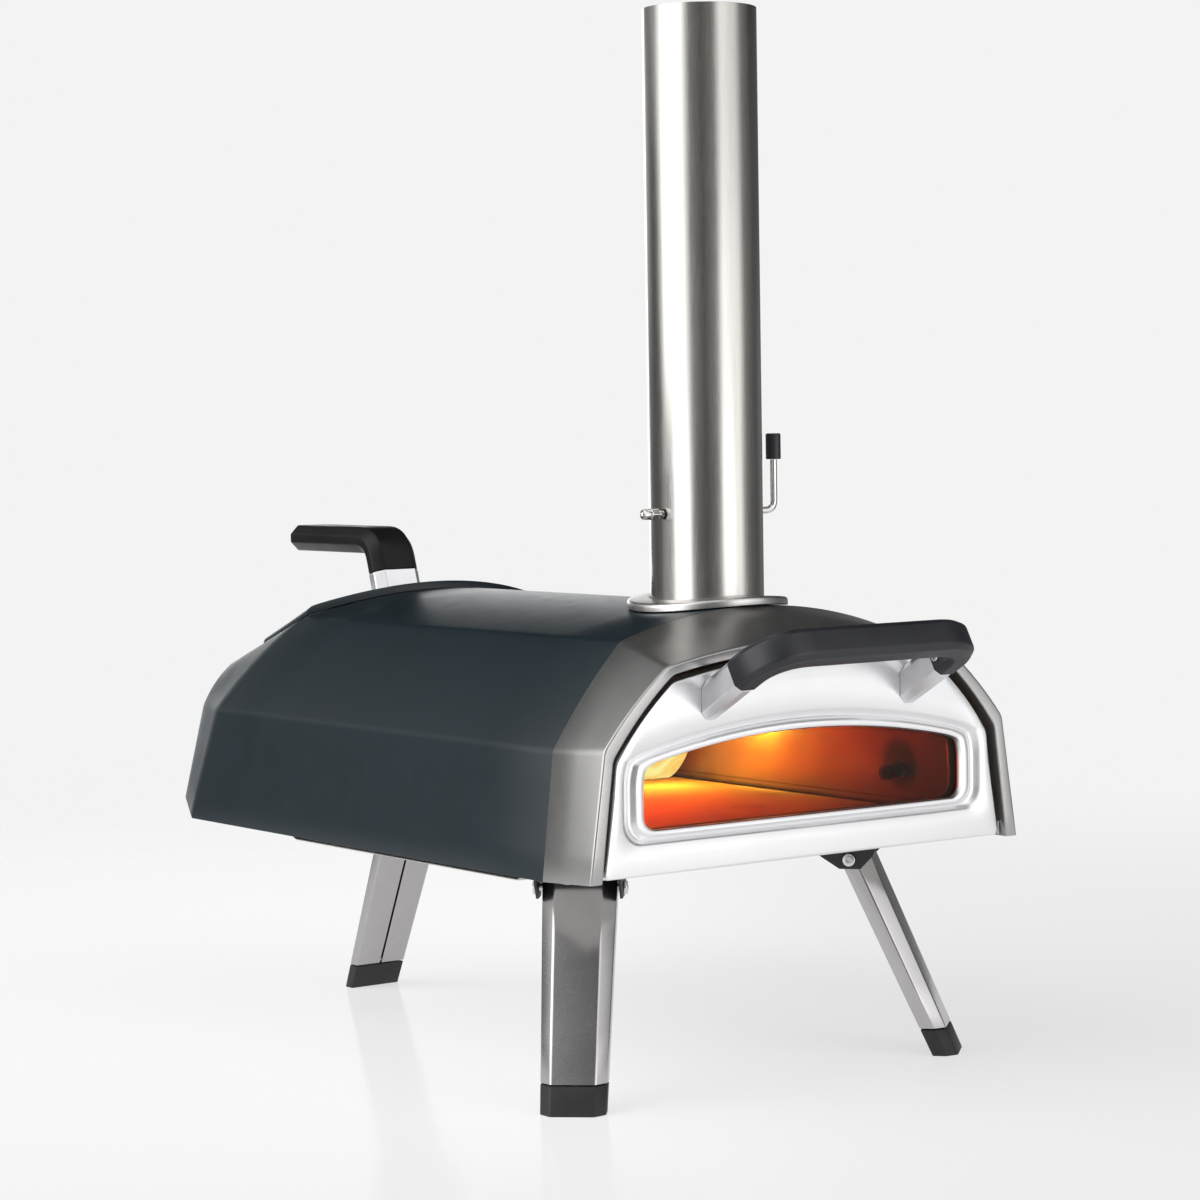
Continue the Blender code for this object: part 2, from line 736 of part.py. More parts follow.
def build_door(steel, inner_steel, glass, rope, pivot):
    """Pressed door skin, back plate, glass and gasket, all turning with the door."""
    face = DOOR_FACE_Y
    depth = DOOR_DEPTH
    window_edge = outline(WINDOW, face + WINDOW_RECESS, 0.011, 0.0035)
    window_wall = outline(inset(WINDOW, -0.0012), face + WINDOW_RECESS - 0.001, 0.0115, 0.0035)
    lip = outline(inset_all(WINDOW, -WINDOW_LIP * 0.5), face + 0.0012, 0.013, 0.0037)
    land = outline(inset_all(WINDOW, -WINDOW_LIP), face, 0.015, 0.004)
    near = outline(inset(DOOR_EDGE, DOOR_BEND), face, 0.003)
    bend = outline(inset(DOOR_EDGE, 0.3 * DOOR_BEND), face + 0.3 * DOOR_BEND, 0.004)
    side = outline(DOOR_EDGE, face + DOOR_BEND, 0.005)
    back = outline(DOOR_EDGE, face + depth, 0.005)
    loops = [window_edge, window_wall, lip, land, near, bend, side, back]
    skin = sheet("door_panel", loops, DOOR_SHEET, closed=True, outward=False)
    for sign, name in ((-1, "left"), (1, "right")):
        place = (sign * HINGE_X, HINGE_Y, HINGE_Z)
        cut(skin, cylinder("door_pin_cutter_" + name, HINGE_PIN_RADIUS + GAP, 0.02, place, (1, 0, 0), 16))
    finish(skin, steel, pivot)

    glass_front = face + WINDOW_RECESS + DOOR_SHEET + GAP
    glass_edge = outline(inset_all(WINDOW, -0.0090), glass_front, 0.012, 0.004)
    finish(flat_panel("door_glass", [glass_edge], GLASS_THICKNESS), glass, pivot)

    plate_y = face + depth + GAP
    plate_edge = outline(inset(DOOR_EDGE, 0.0015), plate_y, 0.004)
    sight = outline(inset_all(WINDOW, -0.0005), plate_y, 0.011, 0.0035)
    finish(flat_panel("door_back_plate", [plate_edge, sight], SHEET), inner_steel, pivot)

    rope_y = plate_y + SHEET + GAP
    rope_outer = outline(inset_all(WINDOW, -0.0230), rope_y, 0.014, 0.005)
    rope_inner = outline(inset_all(WINDOW, -0.0170), rope_y, 0.010, 0.005)
    finish(flat_panel("door_gasket", [rope_outer, rope_inner], 0.0055), rope, pivot)


def inset_all(section, depth):
    """Cross-section moved inward on every side, its lower edge too."""
    (x, y, z), *rest = inset(section, depth)
    return ((x, y, z + depth), *rest)


def build_hinges(steel):
    """Hinge bracket with its pin at each lower corner of the mouth."""
    for sign, name in ((-1, "left"), (1, "right")):
        plate_x = sign * 0.1952
        low = (min(plate_x, plate_x + sign * 0.0015), 0.0070, 0.0034)
        high = (max(plate_x, plate_x + sign * 0.0015), FRONT_PLATE_Y - GAP, 0.0145)
        lug = box("door_hinge_" + name, low, high)
        pin_inner = 0.1890
        pin = cylinder(
            "hinge_pin_" + name,
            HINGE_PIN_RADIUS,
            0.1955 - pin_inner,
            (sign * (0.1955 + pin_inner) / 2.0, HINGE_Y, HINGE_Z),
            (1, 0, 0),
            16,
        )
        join(lug, pin)
        finish(lug, steel)


def join(body, other):
    """Add another shape to a body."""
    cut(body, other)
    body.modifiers[-1].operation = "UNION"


def handle_point(x, reach, lift=0.0):
    """Point on the door handle's tilted plane: sideways, out from the door and square to the plane."""
    out = Vector((0.0, -math.cos(HANDLE_TILT), math.sin(HANDLE_TILT)))
    square = Vector((0.0, math.sin(HANDLE_TILT), math.cos(HANDLE_TILT)))
    base = Vector((HANDLE_MIDDLE_X + x, DOOR_FACE_Y, HANDLE_BASE_Z))
    return base + out * reach + square * lift


def build_door_handle(aluminium, plastic, bright, pivot):
    """Two aluminium arms, the black U-shaped grip and its screws."""
    for sign, name in ((-1, "left"), (1, "right")):
        section = octagon(*ARM_SECTION)
        foot = []
        for across, up in section:
            reach = (up * math.sin(HANDLE_TILT) + GAP) / math.cos(HANDLE_TILT)
            foot.append(handle_point(sign * HANDLE_ARM_X + across, reach, up))
        end = [handle_point(sign * HANDLE_ARM_X + across, ARM_LENGTH - GAP, up) for across, up in section]
        finish(solid_loft("handle_arm_" + name, [foot, end]), aluminium, pivot)

    half_path = [
        (HANDLE_ARM_X, ARM_LENGTH),
        (HANDLE_ARM_X, 0.0560),
        (0.0920, 0.0690),
        (0.0830, 0.0780),
        (0.0660, GRIP_REACH),
    ]
    path = [handle_point(-x, reach) for x, reach in half_path]
    path += [handle_point(x, reach) for x, reach in reversed(half_path)]
    normal = Vector((0.0, math.sin(HANDLE_TILT), math.cos(HANDLE_TILT)))
    grip = solid_loft("door_grip", swept_rows(path, octagon(*GRIP_SECTION), normal))
    finish(grip, plastic, pivot)

    for sign, name in ((-1, "left"), (1, "right")):
        inner_face = HANDLE_ARM_X - 0.5 * GRIP_SECTION[0]
        place = handle_point(sign * (inner_face - GAP - 0.0008), 0.0495)
        finish(cylinder("grip_screw_" + name, 0.0036, 0.0016, place, (1, 0, 0), 12), bright, pivot)


def cowl_point(index, share):
    """Point on the rear cowl: an index along its cross-section, and a share from front to rear."""
    front = arch(SHELL_REAR)
    rear = arch(COWL_REAR)
    step = min(int(index), len(front) - 2)
    part = index - step
    near = front[step].lerp(front[step + 1], part)
    far = rear[step].lerp(rear[step + 1], part)
    return near.lerp(far, share)


def cowl_normal(index, share):
    """Outward direction on the rear cowl."""
    along = cowl_point(index + 0.2, share) - cowl_point(index - 0.2, share)
    back = cowl_point(index, share + 0.05) - cowl_point(index, share - 0.05)
    return along.cross(back).normalized()


def hatch_block(name, half_size, low, high):
    """Box square to the sloping top at the hatch opening."""
    centre = cowl_point(0.5 * (len(arch(SHELL_REAR)) - 1), (HATCH_OPENING_Y - 0.496) / 0.124)
    normal = Vector((0.0, math.sin(HATCH_LEAN), math.cos(HATCH_LEAN)))
    body = box(name, (-half_size[0], -half_size[1], low), (half_size[0], half_size[1], high))
    body.rotation_euler = (-HATCH_LEAN, 0.0, 0.0)
    body.location = datum() + centre + normal * (0.5 * (low + high))
    return body


def build_hatch(paint, steel, aluminium, plastic, pivot):
    """Fuel hatch lid, its inner plug and the L-shaped handle."""
    middle = FACET_STEPS + 1 + ARCH_STEPS
    left_stations = [4.05, 4.16, 4.45, 5.0, 6.0, 7.0, 8.0]
    stations = left_stations + [middle] + [2 * middle - index for index in reversed(left_stations)]
    count = len(stations)
    lift = 0.0023
    rows = []
    levels = (
        (HATCH_START, lift),
        (HATCH_START + 0.004, HATCH_HEIGHT - 0.0015),
        (HATCH_START + 0.022, HATCH_HEIGHT),
        (0.5 * (HATCH_START + HATCH_END), HATCH_HEIGHT),
        (HATCH_END - 0.022, HATCH_HEIGHT),
        (HATCH_END, lift),
    )
    edge_fall = {0: lift, 1: 0.72 * HATCH_HEIGHT, count - 2: 0.72 * HATCH_HEIGHT, count - 1: lift}
    for share, height in levels:
        row = []
        for number, index in enumerate(stations):
            raised = min(height, edge_fall.get(number, height))
            place = middle + (index - middle) * (1.0 - HATCH_TAPER * share)
            row.append(cowl_point(place, share) + cowl_normal(place, share) * raised)
        rows.append(row)
    finish(sheet("hatch_lid", rows, HATCH_SKIN), paint, pivot)

    clearance = 0.0025
    plug_size = (HATCH_OPENING[0] - clearance, HATCH_OPENING[1] - clearance)
    plug = hatch_block("hatch_plug", plug_size, -0.010, 0.0026)
    finish(plug, steel, pivot)

    lean = Vector((0.0, math.sin(HATCH_LEAN), math.cos(HATCH_LEAN)))
    foot = Vector(STEM_FOOT)
    across = Vector((1.0, 0.0, 0.0))
    section = octagon(*STEM_SECTION)
    ends = [foot + lean * GAP, foot + lean * (STEM_LENGTH - GAP)]
    stem = solid_loft("hatch_stem", swept_rows(ends, section, across))
    finish(stem, aluminium, pivot)

    start = foot + lean * STEM_LENGTH
    elbow = [start, start + lean * 0.0128]
    elbow.append(Vector((0.0, 0.5945, REAR_GRIP_Z - 0.0065)))
    elbow.append(Vector((0.0, 0.6080, REAR_GRIP_Z)))
    path = elbow + [Vector((0.0, y, REAR_GRIP_Z)) for y in (REAR_GRIP_END - 0.005, REAR_GRIP_END)]
    scales = [1.0] * (len(path) - 1) + [0.72]
    grip = solid_loft("hatch_grip", swept_rows(path, octagon(*REAR_GRIP_SECTION), across, scales))
    finish(grip, plastic, pivot)


def build_chimney(bright, pivot):
    """Chimney tube with the damper spindle's holes."""
    inner = CHIMNEY_RADIUS - CHIMNEY_WALL
    profile = [
        (CHIMNEY_RADIUS, CHIMNEY_TOP),
        (CHIMNEY_RADIUS, CHIMNEY_BOTTOM),
        (inner, CHIMNEY_BOTTOM),
        (inner, CHIMNEY_TOP),
    ]
    segments = 40
    flue = turned("chimney_tube", profile, (0.0, CHIMNEY_Y, 0.0), (0, 0, 1), segments, math.pi / segments)
    for side, name in ((-1, "left"), (1, "right")):
        place = (side * CHIMNEY_RADIUS, CHIMNEY_Y, DAMPER_Z)
        tilted = (side, 0, 0.002)
        cut(flue, cylinder("damper_hole_cutter_" + name, DAMPER_ROD_RADIUS + GAP, 0.012, place, tilted, 14))
    finish(flue, bright, pivot, smooth=35)


def build_damper(bright, plastic, steel, pivot):
    """Damper spindle with its lever, knob, plate and lock nut."""
    bend = 0.006
    start = (-0.0640, CHIMNEY_Y, DAMPER_Z)
    points = [start, (DAMPER_LEVER_X - bend, CHIMNEY_Y, DAMPER_Z)]
    for step in (1, 2, 3):
        angle = 0.5 * math.pi * step / 3
        x = DAMPER_LEVER_X - bend + bend * math.sin(angle)
        points.append((x, CHIMNEY_Y, DAMPER_Z + bend - bend * math.cos(angle)))
    top = DAMPER_Z + DAMPER_LEVER_RISE
    points.append((DAMPER_LEVER_X, CHIMNEY_Y, top))
    finish(tube("damper_rod", points, DAMPER_ROD_RADIUS), bright, pivot, smooth=40)

    middle = top + GAP + 0.5 * KNOB_LENGTH
    place = (DAMPER_LEVER_X, CHIMNEY_Y, middle)
    knob = cylinder("damper_knob", KNOB_RADIUS, KNOB_LENGTH, place, (0, 0, 1), 16)
    rounding = knob.modifiers.new("Rounded ends", "BEVEL")
    rounding.width = 0.0012
    rounding.segments = 1
    rounding.angle_limit = math.radians(60.0)
    finish(knob, plastic, pivot)

    plate_y = CHIMNEY_Y + DAMPER_ROD_RADIUS + GAP + 0.0006
    plate = cylinder("damper_plate", DAMPER_PLATE_RADIUS, 0.0012, (0.0, plate_y, DAMPER_Z), (0, 1, 0), 32)
    finish(plate, steel, pivot)

    outer = 0.0050
    bore = 0.0037
    half = 0.0035
    profile = [(outer, half), (outer, -half), (bore, -half), (bore, half)]
    nut = turned("damper_nut", profile, (-0.0520, CHIMNEY_Y, DAMPER_Z), (1, 0, 0), 6)
    finish(nut, bright, pivot)


def leg_section(size, place, splay):
    """Outer corners of the folded leg section, from one lip round the front to the other lip."""
    half = size["half_flat"] + size["chamfer"]
    depth = size["side"] + size["chamfer"]
    front = size["front"]
    back = front - depth
    outline_points = [
        (back, 0.5 * LEG_SLIT),
        (back, half),
        (back + size["side"], half),
        (front, size["half_flat"]),
        (front, -size["half_flat"]),
        (back + size["side"], -half),
        (back, -half),
        (back, -0.5 * LEG_SLIT),
    ]
    facing = Vector((math.cos(splay), 0.0, math.sin(splay)))
    sideways = Vector((0.0, 1.0, 0.0))
    return [place + facing * out + sideways * across for out, across in outline_points]


def on_level(upper, lower, height):
    """Points where the lines between two rows reach a height."""
    row = []
    for top, foot in zip(upper, lower):
        share = (height - top.z) / (foot.z - top.z)
        row.append(top.lerp(foot, share))
    return row


def leg_trim(name, place, turn):
    """Cutter for the leg's upper back corner, which has to pass under the bracket as the leg folds."""
    size = 0.03
    trim = box("leg_trim_cutter_" + name, (-size, -2.0 * size, -size), (size, 2.0 * size, size))
    tilt = Matrix.Rotation(-LEG_TRIM_ANGLE, 4, "Y")
    reach = Matrix.Translation((LEG_TRIM_REACH + size, 0.0, 0.0))
    trim.matrix_world = Matrix.Translation(datum() + place) @ turn @ tilt @ reach
    return trim


def build_leg(name, heading, foot, steel, rubber, black, bright):
    """One folding leg with its foot cap, bracket and pivot bolt."""
    outward = Vector((math.cos(heading), math.sin(heading), 0.0))
    place = Vector((foot[0], foot[1], 0.0)) - outward * LEG_RUN
    place.z = -PIVOT_DROP
    drop = BODY_HEIGHT - PIVOT_DROP
    splay = math.atan2(LEG_RUN, drop)
    length = math.hypot(LEG_RUN, drop)
    along = Vector((math.sin(splay), 0.0, -math.cos(splay)))
    pivot = pivot_at("leg_pivot_" + name, place, heading)

    upper = leg_section(LEG_TOP, along * -LEG_ABOVE_PIVOT * 3.0, splay)
    lower = leg_section(LEG_FOOT, along * length * 1.1, splay)
    shin_top = PIVOT_DROP - 0.0088
    rows = [
        on_level(upper, lower, shin_top),
        on_level(upper, lower, CAP_HEIGHT + 0.0012 - drop),
    ]
    turn = Matrix.Rotation(heading, 4, "Z")
    shift = Matrix.Translation(place)
    rows = [[shift @ turn @ point for point in row] for row in rows]
    leg = sheet("leg_" + name, rows, LEG_SHEET)
    across = turn @ Vector((0.0, 1.0, 0.0))
    cut(leg, cylinder("leg_bolt_cutter_" + name, BOLT_RADIUS + GAP, 0.1, place, across, 16))
    cut(leg, leg_trim(name, place, turn))
    finish(leg, steel, pivot)

    loops = []
    for level in (CAP_HEIGHT, 0.0):
        row = on_level(upper, lower, level - drop)
        loops.append([shift @ turn @ point for point in row[1:-1]])
    finish(solid_loft("foot_cap_" + name, loops), rubber, pivot)

    build_bracket(name, place, turn, foot[0] == 0.0, black)
    grip = BRACKET_HALF_WIDTH + GAP
    head_radius, head_length = BOLT_HEAD
    profile = [
        (0.0, grip + head_length),
        (head_radius, grip + head_length),
        (head_radius, grip),
        (BOLT_RADIUS, grip),
        (BOLT_RADIUS, -grip),
        (head_radius, -grip),
        (head_radius, -grip - head_length),
        (0.0, -grip - head_length),
    ]
    finish(turned("pivot_bolt_" + name, profile, place, across, 16), bright)


def build_bracket(name, place, turn, is_rear, black):
    """Folded bracket whose two cheeks carry the leg's pivot bolt."""
    web_top = (0.0 if is_rear else PAN_BOTTOM) - GAP
    half = BRACKET_HALF_WIDTH
    cheek_line = (
        (-0.0340, 0.0050),
        (-0.0220, 0.0120),
        (-0.0080, 0.0190),
        (0.0090, 0.0190),
        (0.0190, 0.0110),
        (0.0230, 0.0040),
    )
    lowest = PIVOT_DROP + 0.0075
    rows = []
    middle = Vector((place.x, place.y, 0.0))
    for along, fall in cheek_line:
        bottom = -fall * lowest / 0.0190
        corners = ((half, bottom), (half, web_top), (-half, web_top), (-half, bottom))
        rows.append([middle + turn @ Vector((along, across, z)) for across, z in corners])
    bracket = sheet("leg_bracket_" + name, rows, BRACKET_SHEET)
    across = turn @ Vector((0.0, 1.0, 0.0))
    cut(bracket, cylinder("bracket_bolt_cutter_" + name, BOLT_RADIUS + GAP, 0.1, place, across, 16))
    finish(bracket, black)


for leftover in list(bpy.data.objects):
    bpy.data.objects.remove(leftover)
OVEN = bpy.data.collections.new("pizza_oven")
CUTTERS = bpy.data.collections.new("cutters")
bpy.context.scene.collection.children.link(OVEN)
bpy.context.scene.collection.children.link(CUTTERS)


def main():
    """Build the whole oven."""
    paint = material("navy_paint", (0.018, 0.034, 0.045), 0.45, 0.2)
    bezel_paint = material("bezel_paint", (0.10, 0.10, 0.10), 0.45, 0.6)
    steel = material("brushed_steel", (0.55, 0.54, 0.52), 0.35, 1.0)
    bright = material("polished_steel", (0.70, 0.69, 0.67), 0.25, 1.0)
    door_steel = material("door_steel", (0.75, 0.75, 0.76), 0.35, 1.0)
    inner_steel = material("inner_steel", (0.42, 0.39, 0.36), 0.45, 1.0)
    aluminium = material("aluminium", (0.80, 0.80, 0.80), 0.30, 1.0)
    plastic = material("black_plastic", (0.022, 0.022, 0.027), 0.50, 0.0)
    rubber = material("foot_rubber", (0.015, 0.015, 0.016), 0.60, 0.0)
    black = material("black_bracket", (0.020, 0.020, 0.022), 0.50, 0.3)
    stone = material("cordierite", (0.62, 0.52, 0.40), 0.85, 0.0)
    wool = material("ceramic_wool", (0.80, 0.79, 0.76), 0.95, 0.0)
    rope = material("gasket_rope", (0.10, 0.10, 0.10), 0.90, 0.0)
    glass = material("heat_glass", (0.90, 0.85, 0.80), 0.05, 0.0)
    dial = material("dial_white", (0.85, 0.85, 0.83), 0.50, 0.0)
    red = material("needle_red", (0.60, 0.03, 0.02), 0.45, 0.0)

    build_outer_casing(paint, bezel_paint, steel)
    build_port_cover(steel, bright)
    build_base(steel, stone)
    build_oven_lining(inner_steel, wool)
    build_fuel_parts(inner_steel, black)
    build_flue(inner_steel, bright)
    build_gauge(bright, inner_steel, dial, glass, red)
    build_hinges(bright)

    door_pivot = pivot_at("door_pivot", (0.0, HINGE_Y, HINGE_Z))
    build_door(door_steel, inner_steel, glass, rope, door_pivot)
    build_door_handle(aluminium, plastic, bright, door_pivot)

    hatch_pivot = pivot_at("hatch_pivot", STEM_FOOT)
    build_hatch(paint, inner_steel, aluminium, plastic, hatch_pivot)

    chimney_pivot = pivot_at("chimney_pivot", (0.0, CHIMNEY_Y, 0.2))
    build_chimney(bright, chimney_pivot)
    damper_pivot = pivot_at("damper_pivot", (0.0, CHIMNEY_Y, DAMPER_Z))
    build_damper(bright, plastic, steel, damper_pivot)

    legs = (
        ("front_left", math.pi + LEG_HEADING, (-FOOT_FRONT[0], FOOT_FRONT[1])),
        ("front_right", -LEG_HEADING, FOOT_FRONT),
        ("rear", 0.5 * math.pi, (0.0, FOOT_REAR_Y)),
    )
    for name, heading, foot in legs:
        build_leg(name, heading, foot, steel, rubber, black, bright)


main()
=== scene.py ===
"""Looks of the portable wood fired pizza oven: camera, studio, materials and fine shapes.

Metres, +Z up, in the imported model's frame. Sections and places are given from the datum, the middle of
the body's lower front edge.
"""

import json
import math

import bmesh
import bpy
from mathutils import Matrix, Vector


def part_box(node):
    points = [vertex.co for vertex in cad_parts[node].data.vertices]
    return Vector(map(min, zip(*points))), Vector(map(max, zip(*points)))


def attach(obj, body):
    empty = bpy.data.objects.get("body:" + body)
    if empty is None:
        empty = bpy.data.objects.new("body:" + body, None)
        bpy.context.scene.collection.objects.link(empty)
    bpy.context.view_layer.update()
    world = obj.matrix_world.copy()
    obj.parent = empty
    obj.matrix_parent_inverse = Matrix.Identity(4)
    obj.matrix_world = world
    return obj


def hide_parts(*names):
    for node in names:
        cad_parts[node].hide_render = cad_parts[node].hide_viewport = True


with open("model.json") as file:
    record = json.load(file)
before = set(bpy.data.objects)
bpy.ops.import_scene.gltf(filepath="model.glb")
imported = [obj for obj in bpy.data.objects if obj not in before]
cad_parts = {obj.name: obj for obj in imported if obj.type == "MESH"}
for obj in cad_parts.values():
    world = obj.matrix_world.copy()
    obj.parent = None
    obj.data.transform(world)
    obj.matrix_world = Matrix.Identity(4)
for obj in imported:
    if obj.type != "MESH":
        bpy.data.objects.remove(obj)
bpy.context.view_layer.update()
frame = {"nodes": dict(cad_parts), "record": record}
NODES = frame["nodes"]

# Cross-sections of the body: lower corner, shoulder and crown, then (y, z) of the top of the arch
APEX = 0.192
SHELL_FRONT = ((0.2126, 0.0554, 0.0), (0.2000, 0.0576, 0.0951), (0.1272, 0.0704, 0.1714), (0.0674, APEX))
SHELL_REAR = ((0.2126, 0.579, 0.0), (0.2000, 0.549, 0.0951), (0.1272, 0.526, 0.1714), (0.496, APEX))
COWL_REAR = ((0.1960, 0.620, 0.014), (0.1760, 0.620, 0.093), (0.1470, 0.620, 0.128), (0.620, 0.153))
RIM_OUTER = ((0.2094, 0.0, 0.0023), (0.1948, 0.0, 0.0986), (0.1367, 0.0, 0.1561), (0.0, 0.171))
RIM_INNER = ((0.1985, 0.0, 0.0023), (0.1870, 0.0, 0.0910), (0.1313, 0.0, 0.1499), (0.0, 0.163))
LINER = ((0.1745, 0.034, 0.0040), (0.1700, 0.034, 0.0830), (0.1180, 0.034, 0.1340), (0.034, 0.152))
DOOR_EDGE = ((0.1926, 0.0, 0.0038), (0.1814, 0.0, 0.0884), (0.1282, 0.0, 0.1443), (0.0, 0.158))
WINDOW = ((0.1545, 0.0, 0.0370), (0.1545, 0.0, 0.0730), (0.1440, 0.0, 0.0855), (0.0, 0.101))
GROOVE_EDGE = ((0.1770, 0.0, 0.0260), (0.1770, 0.0, 0.0800), (0.1640, 0.0, 0.0950), (0.0, 0.1165))
SHOULDER_MITRE = (0.95, 0.46)
CROWN_MITRE = (0.55, 0.87)
FACET_BULGE = 0.0028

DATUM = Vector((0.0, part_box("front_bezel")[0].y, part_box("outer_shell")[1].z - APEX))
SHEET = 0.0010
SHEET_RIM = 0.00035
CREASE = 0.0035

BODY_OF = {node: body for body, nodes in frame["record"]["behaviour"]["bodies"].items() for node in nodes}


# ---------------------------------------------------------------- shapes

def inset(section, depth, y=None):
    """Cross-section moved inward by a depth, and to another y where one is given."""
    lower, shoulder, crown, apex = section
    moved = [
        (lower[0] - depth, lower[1], lower[2]),
        (shoulder[0] - SHOULDER_MITRE[0] * depth, shoulder[1], shoulder[2] - SHOULDER_MITRE[1] * depth),
        (crown[0] - CROWN_MITRE[0] * depth, crown[1], crown[2] - CROWN_MITRE[1] * depth),
        (apex[0], apex[1] - depth),
    ]
    if y is not None:
        moved = [(x, y, z) for x, _, z in moved[:3]] + [(y, moved[3][1])]
    return tuple(moved)


def inset_all(section, depth):
    """Cross-section moved inward on every side, its lower edge too."""
    (x, y, z), *rest = inset(section, depth)
    return ((x, y, z + depth), *rest)


def between(first, second, share):
    """Cross-section part of the way from one to another."""
    return tuple(tuple(a + (b - a) * share for a, b in zip(p, q)) for p, q in zip(first, second))


def bend(before, corner, after, radius, share):
    """Point on the short curve that rounds a corner."""
    start = corner + (before - corner).normalized() * radius
    end = corner + (after - corner).normalized() * radius
    return start * (1.0 - share) ** 2 + corner * (2.0 * share * (1.0 - share)) + end * share ** 2


def flank(section, bulge=FACET_BULGE, crease=CREASE):
    """Right half of a cross-section, from its lower corner up to the middle of the arch."""
    lower, shoulder, crown = (Vector(point) for point in section[:3])
    apex_y, apex_z = section[3]
    facet = crown - shoulder
    outward = Vector((facet.z, 0.0, -facet.x)).normalized()

    def on_facet(share):
        return shoulder + facet * share + outward * (4.0 * bulge * share * (1.0 - share))

    def on_arch(share):
        side = 1.0 - share
        rise = apex_z - (apex_z - crown.z) * side * side
        return Vector((crown.x * side, apex_y + (crown.y - apex_y) * side * side, rise))

    side_steps, bend_steps, facet_steps, arch_steps = 4, 5, 10, 22
    near = crease / facet.length
    start = crease / crown.x
    points = [lower.lerp(shoulder, 0.96 * step / side_steps) for step in range(side_steps)]
    upper = on_facet(near)
    for step in range(bend_steps + 1):
        points.append(bend(lower, shoulder, upper, crease, step / bend_steps))
    for step in range(1, facet_steps):
        points.append(on_facet(near + (1.0 - 2.0 * near) * step / facet_steps))
    last = on_facet(1.0 - near)
    first = on_arch(start)
    points += [bend(last, crown, first, crease, step / bend_steps) for step in range(bend_steps + 1)]
    for step in range(1, arch_steps + 1):
        points.append(on_arch(start + (1.0 - start) * step / arch_steps))
    return points


def arch(section):
    """Whole open cross-section, from the lower left corner over the top to the lower right one."""
    right = flank(section)
    left = [Vector((-point.x, point.y, point.z)) for point in right]
    return left + right[-2::-1]


def outline(section, y, corner=0.003, bulge=FACET_BULGE, crease=CREASE):
    """Closed outline in one plane, with a straight lower edge and round lower corners."""
    half, _, low = section[0]
    steps = 7
    lower = []
    for step in range(steps + 1):
        angle = -0.5 * math.pi * (1.0 - step / steps)
        side = half - corner + corner * math.cos(angle)
        lower.append(Vector((side, y, low + corner + corner * math.sin(angle))))
    bottom = [Vector(((half - corner) * share, y, low)) for share in (0.0, 0.25, 0.5, 0.75)]
    right = bottom + lower + flank(section, bulge, crease)[2:]
    right = [Vector((point.x, y, point.z)) for point in right]
    left = [Vector((-point.x, y, point.z)) for point in right[-2:0:-1]]
    return right + left


def rounded_rows(rows, radii, steps=4):
    """Rows of points with the bends between them rounded, one radius for each row between the ends."""
    made = [rows[0]]
    for before, corner, after, radius in zip(rows, rows[1:], rows[2:], radii):
        for step in range(steps + 1):
            points = zip(before, corner, after)
            made.append([bend(a, b, c, radius, step / steps) for a, b, c in points])
    made.append(rows[-1])
    return made


def mesh_piece(name, vertices, faces):
    """Object made of computed vertices and faces, standing at the datum."""
    mesh = bpy.data.meshes.new(name)
    mesh.from_pydata([tuple(point + DATUM) for point in vertices], [], faces)
    piece = bpy.data.objects.new(name, mesh)
    bpy.context.scene.collection.objects.link(piece)
    return piece


def grid_faces(row_count, row_length, closed):
    """Quads between neighbouring rows of equal length."""
    faces = []
    span = row_length if closed else row_length - 1
    for row in range(row_count - 1):
        for index in range(span):
            here = row * row_length
            there = here + row_length
            after = (index + 1) % row_length
            faces.append((here + index, here + after, there + after, there + index))
    return faces


def apply_modifiers(piece):
    """Replace a piece's mesh with its evaluated one."""
    bpy.context.view_layer.update()
    done = bpy.data.meshes.new_from_object(piece.evaluated_get(bpy.context.evaluated_depsgraph_get()))
    piece.modifiers.clear()
    piece.data = done
    return piece


def face_outward(piece):
    """Turn all faces of a closed mesh outward."""
    made = bmesh.new()
    made.from_mesh(piece.data)
    bmesh.ops.recalc_face_normals(made, faces=made.faces)
    made.to_mesh(piece.data)
    made.free()
    return piece


def bevelled(piece, width, angle):
    """Add rounded edges to a piece wherever it bends by more than an angle."""
    rounding = piece.modifiers.new("Rounded edges", "BEVEL")
    rounding.width = width
    rounding.segments = 2
    rounding.angle_limit = math.radians(angle)
    return piece

def sheet(name, rows, thickness=SHEET, closed=False, outward=True):
    """Bent sheet through rows of points, thickened inward from its outer face, with soft rims."""
    vertices = [point for row in rows for point in row]
    piece = mesh_piece(name, vertices, grid_faces(len(rows), len(rows[0]), closed))
    solidify = piece.modifiers.new("Sheet thickness", "SOLIDIFY")
    solidify.thickness = thickness
    solidify.offset = -1.0 if outward else 1.0
    solidify.use_even_offset = True
    bevelled(piece, SHEET_RIM, 60.0)
    return face_outward(apply_modifiers(piece))


def solid_loft(name, rows):
    """Closed solid through loops of points, capped at both ends."""
    count = len(rows[0])
    vertices = [point for row in rows for point in row]
    faces = grid_faces(len(rows), count, True)
    faces.append(tuple(range(count)))
    faces.append(tuple(range(len(vertices) - count, len(vertices))))
    return face_outward(mesh_piece(name, vertices, faces))


def ring_loft(name, loops):
    """Closed ring whose cross-section runs through the loops and back to the first."""
    vertices = [point for loop in loops for point in loop]
    faces = grid_faces(len(loops) + 1, len(loops[0]), True)
    faces = [tuple(index % len(vertices) for index in face) for face in faces]
    return face_outward(mesh_piece(name, vertices, faces))


